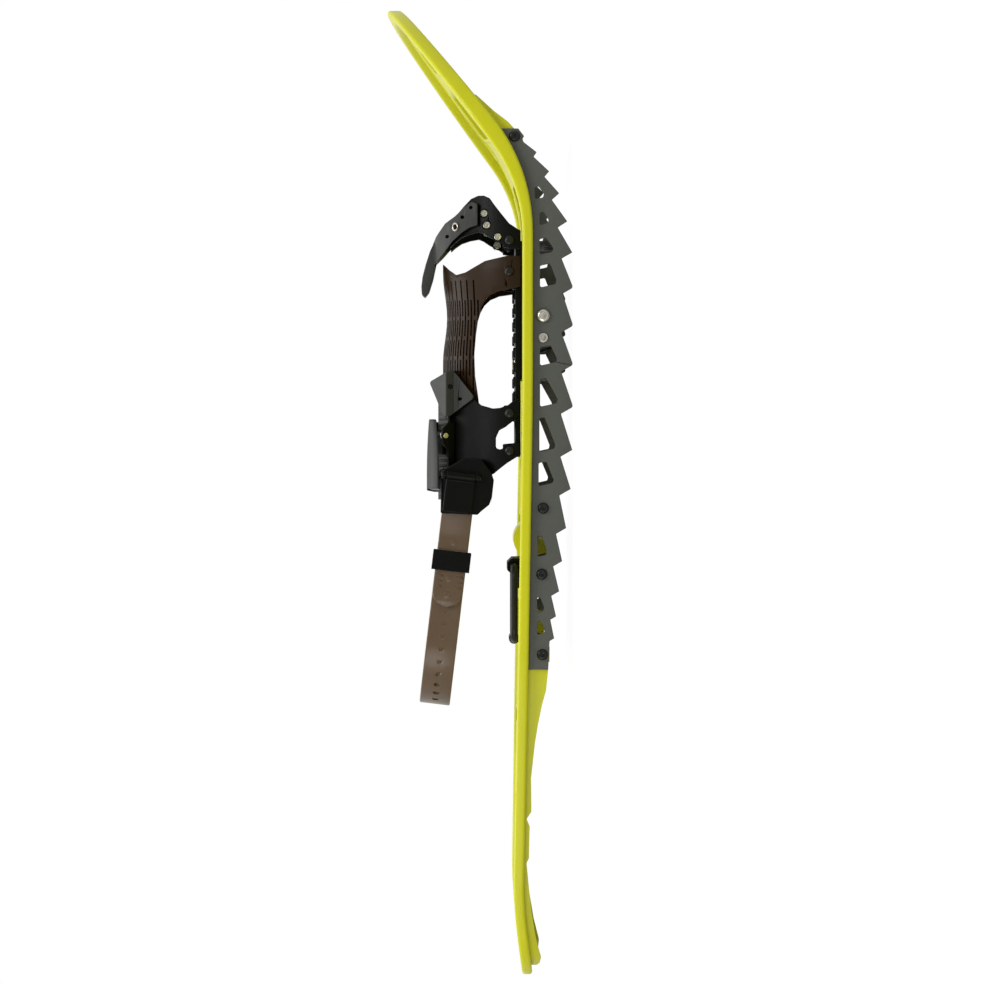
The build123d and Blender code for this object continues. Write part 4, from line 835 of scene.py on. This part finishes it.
# ---- binding
@dataclass
class InstepPanel(Assembly):
    """Rolled instep panel of smoky urethane with rows of lengthwise slots.

    Attributes:
        waist: Start, end and depth of the stretch where the crest is drawn in.
    """

    inner: float = 48.5
    thick: float = 2.5
    slot_long: float = 24.0
    slot_wide: float = 1.4
    bridge: float = 2.0
    row_step: float = 3.3
    last_row: float = 58.0
    front: float = 139.0
    front_gain: float = 0.15
    crest: float = 40.0
    rear: float = 62.0
    waist: tuple = (84, 144, 2.7)
    waist_step: int = 5

    def draw_in(self, panel: Thing) -> None:
        """Draw the crest in between the two ends, as the stretched sheet does."""
        start, end, depth = self.waist
        for vert in panel.data.vertices:
            x, y, z = vert.co.x / MM, vert.co.y / MM, vert.co.z / MM - BOOT_Z
            reach = hypot(y, z)
            if start < x < end and z > 0:
                pull = depth * sin(pi * (x - start) / (end - start)) ** 2 * z / reach
                vert.co.y -= pull * y / reach * MM
                vert.co.z -= pull * z / reach * MM

    def slots(self) -> list:
        """Places and turns of the slots: staggered rows along the panel."""
        rows = []
        count = int(self.last_row // self.row_step)
        pitch = self.slot_long + self.bridge
        radius = self.inner + self.thick / 2
        for row in range(-count, count + 1):
            angle = radians(row * self.row_step)
            shift = pitch / 2 if row % 2 else 0.0
            x = self.rear + self.slot_long / 2 + shift
            reach = self.front + self.front_gain * max(0.0, self.crest - abs(row) * self.row_step)
            while x + self.slot_long / 2 <= reach:
                place = (x * MM, -radius * sin(angle) * MM, (BOOT_Z + radius * cos(angle)) * MM)
                rows.append((place, (angle, 0, 0)))
                x += pitch
        return rows

    def build(self) -> None:
        """Make the panel."""
        start, end, _ = self.waist
        planes = [((x * MM, 0, 0), (1, 0, 0)) for x in range(start, end + 1, self.waist_step)]
        host = divide(soften(self.shop.copy("instep_panel", "instep_host"), 0.4), planes)
        shape = prism("slot_shape", stadium(self.slot_long, self.slot_wide), self.thick * 2.2)
        panel = self.shop.cutter.run("instep_panel_form", shape, self.slots(), host)
        self.draw_in(panel)
        # The panel takes the copy of the smoky urethane with painted shade: a darker body that lets less light
        # through.
        self.shop.dress(sharpen(panel, CUT_ANGLE), SMOKE_PAINTED_SHADE, "binding", "smoke_strap", "instep_panel")


@dataclass
class ToeHold(Assembly):
    """Toe wings and the soft strap that crosses the toe."""

    holes: tuple = ((172.4, 75.2, 1.7), (178.6, 71.0, 1.3), (166.6, 81.0, 1.3), (184.6, 65.4, 1.2))
    outside: float = 57.7
    hole_reach: float = 60.0

    def eyelets(self) -> None:
        """Raised bright ring round the largest hole of the strap, on each side."""
        x, z, radius = self.holes[0]
        out = sqrt(self.outside**2 - (z - BOOT_Z) ** 2)
        section = ((0, -2.4), (1.2, -2.4), (1.1, 0.9), (0.6, 1.2), (0.1, 0.9), (0, -2.4))
        shape = lathe("eyelet_shape", [(radius + wide, high) for wide, high in section], 20)
        tilt = asin((z - BOOT_Z) / self.outside)
        rows = []
        for side, facing in PAIR:
            turn = (facing.value[0] + side * tilt, 0.0, 0.0)
            rows.append(((x * MM, side * out * MM, z * MM), turn))
        self.shop.dress(self.shop.repeat.run("toe_eyelets", shape, rows), ZINC, "binding", "bright_steel")

    def build(self) -> None:
        """Make the eyelets, the wings and the strap."""
        self.eyelets()
        self.shop.mouldings(TOE_WINGS)
        host = soften(self.shop.copy("toe_strap", "toe_host"), 0.6)
        strap = self.shop.pierced("toe_strap_form", host, self.holes, 0.0, self.hole_reach)
        self.shop.dress(sharpen(strap, CUT_ANGLE), SOFT_BLACK, "binding", "black_strap", "toe_strap")


@dataclass
class Ratchet(Assembly):
    """Instep ratchet: base, lever, pawl, springs, ladder strap and its sleeve."""

    roll: float = 30.0
    seat: float = 55.1
    pawl_pin: Point2 = (36.0, 6.8)
    half: float = 7.45
    spring_wide: float = 1.4
    spring_gap: float = 0.3
    spring_turns: float = 3.0
    spring_radius: float = 2.3
    wire: float = 0.28
    lever_back: float = 11.9
    lever_tip: int = 47
    lever_step: int = 4
    lever_cuts: tuple = (-5.6, -3.4, 0, 3.4, 5.6)
    crown: float = 1.0
    taper_from: int = 11
    taper: float = 0.42
    sleeve_holes: tuple = ((68.0, 78.6, 1.7), (60.0, 72.6, 1.0))
    sleeve_y: float = -65.0
    sleeve_reach: float = 30.0

    def place(self, x: float, high: float, across: float) -> Vector:
        """Place in the row frame of a point given in the ratchet's own frame, in metres."""
        angle = radians(self.roll)
        out = Vector((0, -sin(angle), cos(angle)))
        down = Vector((0, -cos(angle), -sin(angle)))
        origin = Vector((0, 0, BOOT_Z)) + out * self.seat
        return (origin + Vector((x, 0, 0)) + out * high + down * across) * MM

    def crowned_lever(self) -> Thing:
        """The lever with a crowned back that narrows towards its free end, its edges rounded."""
        start = self.place(0, 0, 0)
        out = self.place(0, 1, 0) - start
        axis = self.place(0, 0, 1) - start
        cuts = [(self.place(x, 0, 0), (1, 0, 0)) for x in range(self.taper_from, self.lever_tip, self.lever_step)]
        cuts += [(self.place(0, 0, across), axis) for across in self.lever_cuts]
        thing = divide(self.shop.copy("ratchet_lever", "ratchet_lever_form"), cuts)
        for vert in thing.data.vertices:
            across = (vert.co - start).dot(axis) / MM**2
            share = (vert.co.x / MM - self.taper_from) / (self.lever_tip - self.taper_from)
            if (vert.co - start).dot(out) / MM**2 > self.lever_back:
                vert.co -= out * (self.crown * (across / self.half) ** 2)
            if share > 0:
                vert.co -= axis * (across * self.taper * share**2)
        thing.data.shade_smooth()
        return soften(sharpen(thing, EDGE_ANGLE), 0.5)

    def springs(self) -> None:
        """Wind the two pawl springs."""
        shop = self.shop
        whole = bmesh.new()
        axis = (self.place(0, 0, 1) - self.place(0, 0, 0)).normalized()
        turn = Vector((0, 0, 1)).rotation_difference(axis).to_matrix().to_4x4()
        long = self.spring_wide - 2 * self.spring_gap
        for start in (-self.half, self.half - self.spring_wide):
            one = shop.coil.run("spring", self.spring_turns, self.spring_radius, long, self.wire)
            spot = self.place(*self.pawl_pin, start + self.spring_gap)
            one.data.transform(Matrix.Translation(spot) @ turn)
            whole.from_mesh(one.data)
            bpy.data.objects.remove(one)
        bmesh.ops.recalc_face_normals(whole, faces=whole.faces)
        mesh = bpy.data.meshes.new("pawl_springs_form")
        whole.to_mesh(mesh)
        whole.free()
        mesh.shade_smooth()
        body = body_of(shop.frame["nodes"]["pawl_springs"])[0]
        shop.dress(linked("pawl_springs_form", mesh), ZINC, body, "bright_steel", "pawl_springs")

    def build(self) -> None:
        """Make every piece of the ratchet."""
        shop = self.shop
        shop.moulded("ratchet_base", NYLON, "binding", "black_plastic", 0.4)
        shop.moulded("ratchet_pins", ZINC, "binding", "bright_steel", 0.2)
        shop.dress(self.crowned_lever(), NYLON_DARK, "ratchet_lever", "lever_plastic", "ratchet_lever")
        shop.moulded("ratchet_pawl", NYLON, "ratchet_pawl", "black_plastic", 0.3)
        host = shop.copy("strap_sleeve", "sleeve_host")
        sleeve = shop.pierced("strap_sleeve_form", host, self.sleeve_holes, self.sleeve_y, self.sleeve_reach)
        shop.dress(soften(sleeve, 0.6), SOFT_BLACK, "binding", "black_strap", "strap_sleeve")
        shop.moulded("ladder_strap", SOFT_BLACK, "binding", "black_strap", 0.3)
        self.springs()


@dataclass
class HeelStrap(Assembly):
    """Smoky heel strap with adjusting holes, its free end and its keeper.

    Its own frame leans by the slope: x runs forward, y to the left and z up across its width.
    """

    HOLE: ClassVar[tuple] = ((1.6, -2.1), (1.6, 2.1), (0.2, 2.1), (-1.2, 1.5), (-1.8, 0), (-1.2, -1.5), (0.2, -2.1))
    BUMP: ClassVar[tuple] = ((0, -0.4), (2.4, -0.4), (2.4, 0), (1.8, 0.2), (0, 0.28))
    RIDGE: ClassVar[tuple] = (5.0, 0.9, 0.56)

    slope: float = 6.8
    height: float = 72.6
    half: float = 47.0
    rear: float = -141.0
    bend: float = 41.0
    thick: float = 3.0
    wide: float = 20.0
    soft: float = 0.9
    front: float = 7.0
    fold_x: float = 2.5
    fold_out: float = 54.0
    ramp: Point2 = (10, 32)
    free_out: float = 50.3
    free_end: float = -76.0
    free_bend: float = 18.0
    tip_half: float = 1.2
    hole_pitch: float = 8.4
    hole_start: float = -79.0
    hole_count: int = 9
    bumps: tuple = (-25.5, -33.5, -57.5, -68.0)
    ridges: tuple = (-56.0, -59.5, -63.0)
    ridge_side: float = 6.6

    def place(self, x: float, y: float, z: float) -> Vector:
        """Place in the row frame of a point given in the strap's own frame, in metres."""
        angle = radians(self.slope)
        forward = Vector((cos(angle), 0, -sin(angle)))
        up = Vector((sin(angle), 0, cos(angle)))
        return (Vector((0, y, self.height)) + forward * x + up * z) * MM

    def path(self) -> list:
        """Middle line of the strap in its own plane, from its left end to its free end."""
        half = self.half
        corners = [(self.front, half), (self.rear, half), (self.rear, -half), (self.fold_x, -half)]
        loop = rounded_path(corners, self.bend)
        radius = (self.fold_out - half) / 2
        middle = -(half + self.fold_out) / 2
        turns = [pi * i / 10 for i in range(1, 10)]
        fold = [(self.fold_x + radius * sin(turn), middle + radius * cos(turn)) for turn in turns]
        corners = [(self.fold_x, -self.fold_out), (self.fold_x - self.ramp[0], -self.fold_out)]
        corners += [(self.fold_x - self.ramp[1], -self.free_out), (self.free_end, -self.free_out)]
        return spread(loop, 4.0) + fold + spread(rounded_path(corners, self.free_bend), 2.0)

    def section(self, half_wide: float) -> list:
        """Rounded cross-section: across the thickness and across the width, in millimetres."""
        reach, high = self.thick / 2 - self.soft, half_wide - self.soft
        points = []
        for corner, (x, y) in enumerate(((reach, high), (-reach, high), (-reach, -high), (reach, -high))):
            for step in range(4):
                angle = radians(90 * corner + 30 * step)
                points.append((x + self.soft * cos(angle), y + self.soft * sin(angle)))
        return points

    def loft(self) -> Thing:
        """Sweep the section along the middle line, rounding the free end in width."""
        path = self.path()
        count = len(path)
        points: list = []
        for i, here in enumerate(path):
            ahead = Vector(path[min(i + 1, count - 1)]) - Vector(path[max(i - 1, 0)])
            side = Vector((-ahead.y, ahead.x)).normalized()
            left = here[0] - self.free_end
            half = self.wide / 2
            if here[1] < -(self.half + self.free_out) / 2 and left < half:
                share = sqrt(max(0.0, 1 - ((half - left) / half) ** 2))
                half = self.tip_half + (half - self.tip_half) * share
            for across, high in self.section(half):
                points.append(self.place(here[0] + side.x * across, here[1] + side.y * across, high))
        width = len(points) // count
        ends = [tuple(range(width))[::-1], tuple(range((count - 1) * width, count * width))]
        return mesh_from("heel_host", points, ring_faces(count, width) + ends)

    def holes(self) -> list:
        """Places and turns of the adjusting holes along the right side of the loop."""
        tilt = radians(self.slope)
        turning = self.rear + self.bend
        rows = []
        for step in range(self.hole_count):
            x = self.hole_start - self.hole_pitch * step
            angle = max(0.0, (turning - x) / self.bend)
            if angle:
                x = turning - self.bend * sin(angle)
            place = self.place(x, -self.half + self.bend * (1 - cos(angle)), 0)
            rows.append((place, (pi / 2, tilt, -angle)))
        return rows

    def marks(self) -> None:
        """Moulded bumps and grip ridges on the free end, low enough for the keeper to pass."""
        face = -self.free_out - self.thick / 2
        tilt = radians(self.slope)
        bumps = [(self.place(x, face, 0), (pi / 2, tilt, 0)) for x in self.bumps]
        turn = (pi / 2, tilt + pi / 2, 0)
        sides = (-self.ridge_side, self.ridge_side)
        ridges = [(self.place(x, face, side), turn) for x in self.ridges for side in sides]
        length, width, depth = self.RIDGE
        ridge = prism("ridge_shape", stadium(length, width), depth, True)
        for name, shape, rows in (
            ("strap_bumps", lathe("bump_shape", self.BUMP, 14), bumps),
            ("strap_ridges", ridge, ridges),
        ):
            self.shop.dress(self.shop.repeat.run(name, shape, rows), SMOKE, "binding", "smoke_strap")

    def build(self) -> None:
        """Make the strap, its bumps and ridges, and the keeper."""
        shape = prism("hole_outline", self.HOLE, 3 * self.thick)
        strap = self.shop.cutter.run("heel_strap_form", shape, self.holes(), self.loft())
        strap.data.shade_smooth()
        self.shop.dress(sharpen(strap, CUT_ANGLE), SMOKE, "binding", "smoke_strap", "heel_strap")
        self.marks()
        self.shop.moulded("strap_keeper", NYLON, "strap_keeper", "black_plastic", 0.5)


# ---- studio
@dataclass
class Studio:
    """Camera, lights, floor and world."""

    distance: float = 2500.0
    eye: Point2 = (26.6, 59.4)
    lens: float = 137.7
    shift: Point2 = (0.0122, -0.0427)
    front_level: float = 0.3
    side_level: float = 0.95
    front_span: Point2 = (-1.0, -0.2)
    floor_reach: float = 3000.0
    floor_drop: float = 0.15
    paper: float = 0.5
    glow: float = 1.12
    glow_share: float = 0.85
    lamps: tuple = (
        ("key", (600, -1300, 1500), 900, 14.5),
        ("fill", (-900, -1300, 300), 900, 6.0),
        ("top", (-200, 500, 1700), 1100, 10.0),
    )

    def camera(self) -> None:
        """Side view from the shoe's right, rolled so that the tip points up."""
        data = bpy.data.cameras.new("camera")
        data.sensor_width = 36.0
        data.lens = self.lens
        data.shift_x, data.shift_y = self.shift
        data.clip_start = 0.05
        data.clip_end = 20.0
        camera = linked("camera", data)
        axes = Matrix(((0, 1, 0), (0, 0, -1), (-1, 0, 0))).to_4x4()
        camera.matrix_world = Matrix.Translation(Vector((self.eye[0], -self.distance, self.eye[1])) * MM) @ axes
        bpy.context.scene.camera = camera

    def white_for_eye(self, tree: Tree) -> Socket:
        """1 for rays from the camera and through clear pieces, 0 for light that falls on the object."""
        path = add_node(tree, "ShaderNodeLightPath").outputs
        rays = {"i0": path["Is Camera Ray"], "i1": path["Is Transmission Ray"]}
        return add_node(tree, "ShaderNodeMath", {"operation": "MAXIMUM"}, **rays).outputs[0]

    def world(self) -> None:
        """White surroundings that light the object softly, less from its near side."""
        world = bpy.data.worlds.new("studio")
        bpy.context.scene.world = world
        tree = empty_tree(world)
        direction = add_node(tree, "ShaderNodeTexCoord").outputs["Generated"]
        across = add_node(tree, "ShaderNodeSeparateXYZ", Vector=direction).outputs["Y"]
        around = remap(tree, across, self.front_level, self.side_level, self.front_span)
        level = remap(tree, self.white_for_eye(tree), around, 1.0)
        light = add_node(tree, "ShaderNodeBackground", Color=(1, 1, 1, 1), Strength=level)
        add_node(tree, "ShaderNodeOutputWorld", Surface=light.outputs[0])

    def floor(self) -> None:
        """Plain white floor that keeps a faint shadow."""
        corners = ((-1, -1), (1, -1), (1, 1), (-1, 1))
        points = [(x * self.floor_reach * MM, y * self.floor_reach * MM, -self.floor_drop * MM) for x, y in corners]
        floor = mesh_from("studio_floor", points, [(0, 1, 2, 3)], False)
        material = bpy.data.materials.new("matt_white_paper")
        tree = empty_tree(material)
        paper = add_node(tree, "ShaderNodeBsdfDiffuse", Color=(self.paper, self.paper, self.paper, 1))
        white = add_node(tree, "ShaderNodeEmission", Color=(1, 1, 1, 1), Strength=self.glow)
        eye = self.white_for_eye(tree)
        share = add_node(tree, "ShaderNodeMath", {"operation": "MULTIPLY"}, i0=eye, i1=self.glow_share)
        mix = add_node(tree, "ShaderNodeMixShader", i0=share.outputs[0], i1=paper.outputs[0], i2=white.outputs[0])
        add_node(tree, "ShaderNodeOutputMaterial", Surface=mix.outputs[0])
        floor.data.materials.append(material)

    def lights(self) -> None:
        """Large soft lamps aimed at the middle of the shoe."""
        for name, place, size, power in self.lamps:
            data = bpy.data.lights.new(name, "AREA")
            data.shape = "DISK"
            data.size = size * MM
            data.energy = power
            lamp = linked(name, data)
            spot = Vector(place) * MM
            lamp.matrix_world = Matrix.Translation(spot) @ (-spot).to_track_quat("-Z", "Y").to_matrix().to_4x4()

    def build(self) -> None:
        """Set up the whole studio."""
        bpy.context.scene.view_settings.view_transform = "Standard"
        self.camera()
        self.world()
        self.floor()
        self.lights()


# ---- main
def main() -> None:
    """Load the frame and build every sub-assembly."""
    logging.basicConfig(level=logging.INFO, format="%(name)s: %(message)s")
    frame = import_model()
    shop = Workshop(frame)
    Studio().build()
    Deck(shop).build()
    shop.mouldings(RAILS)
    Fasteners(shop).build()
    shop.mouldings(BINDING_BASE)
    InstepPanel(shop).build()
    ToeHold(shop).build()
    shop.mouldings(REAR_WINGS)
    Ratchet(shop).build()
    HeelStrap(shop).build()
    shop.mouldings(HEEL_BUCKLE)
    shop.mouldings(HEEL_LIFTER)


if __name__ == "__main__":
    main()
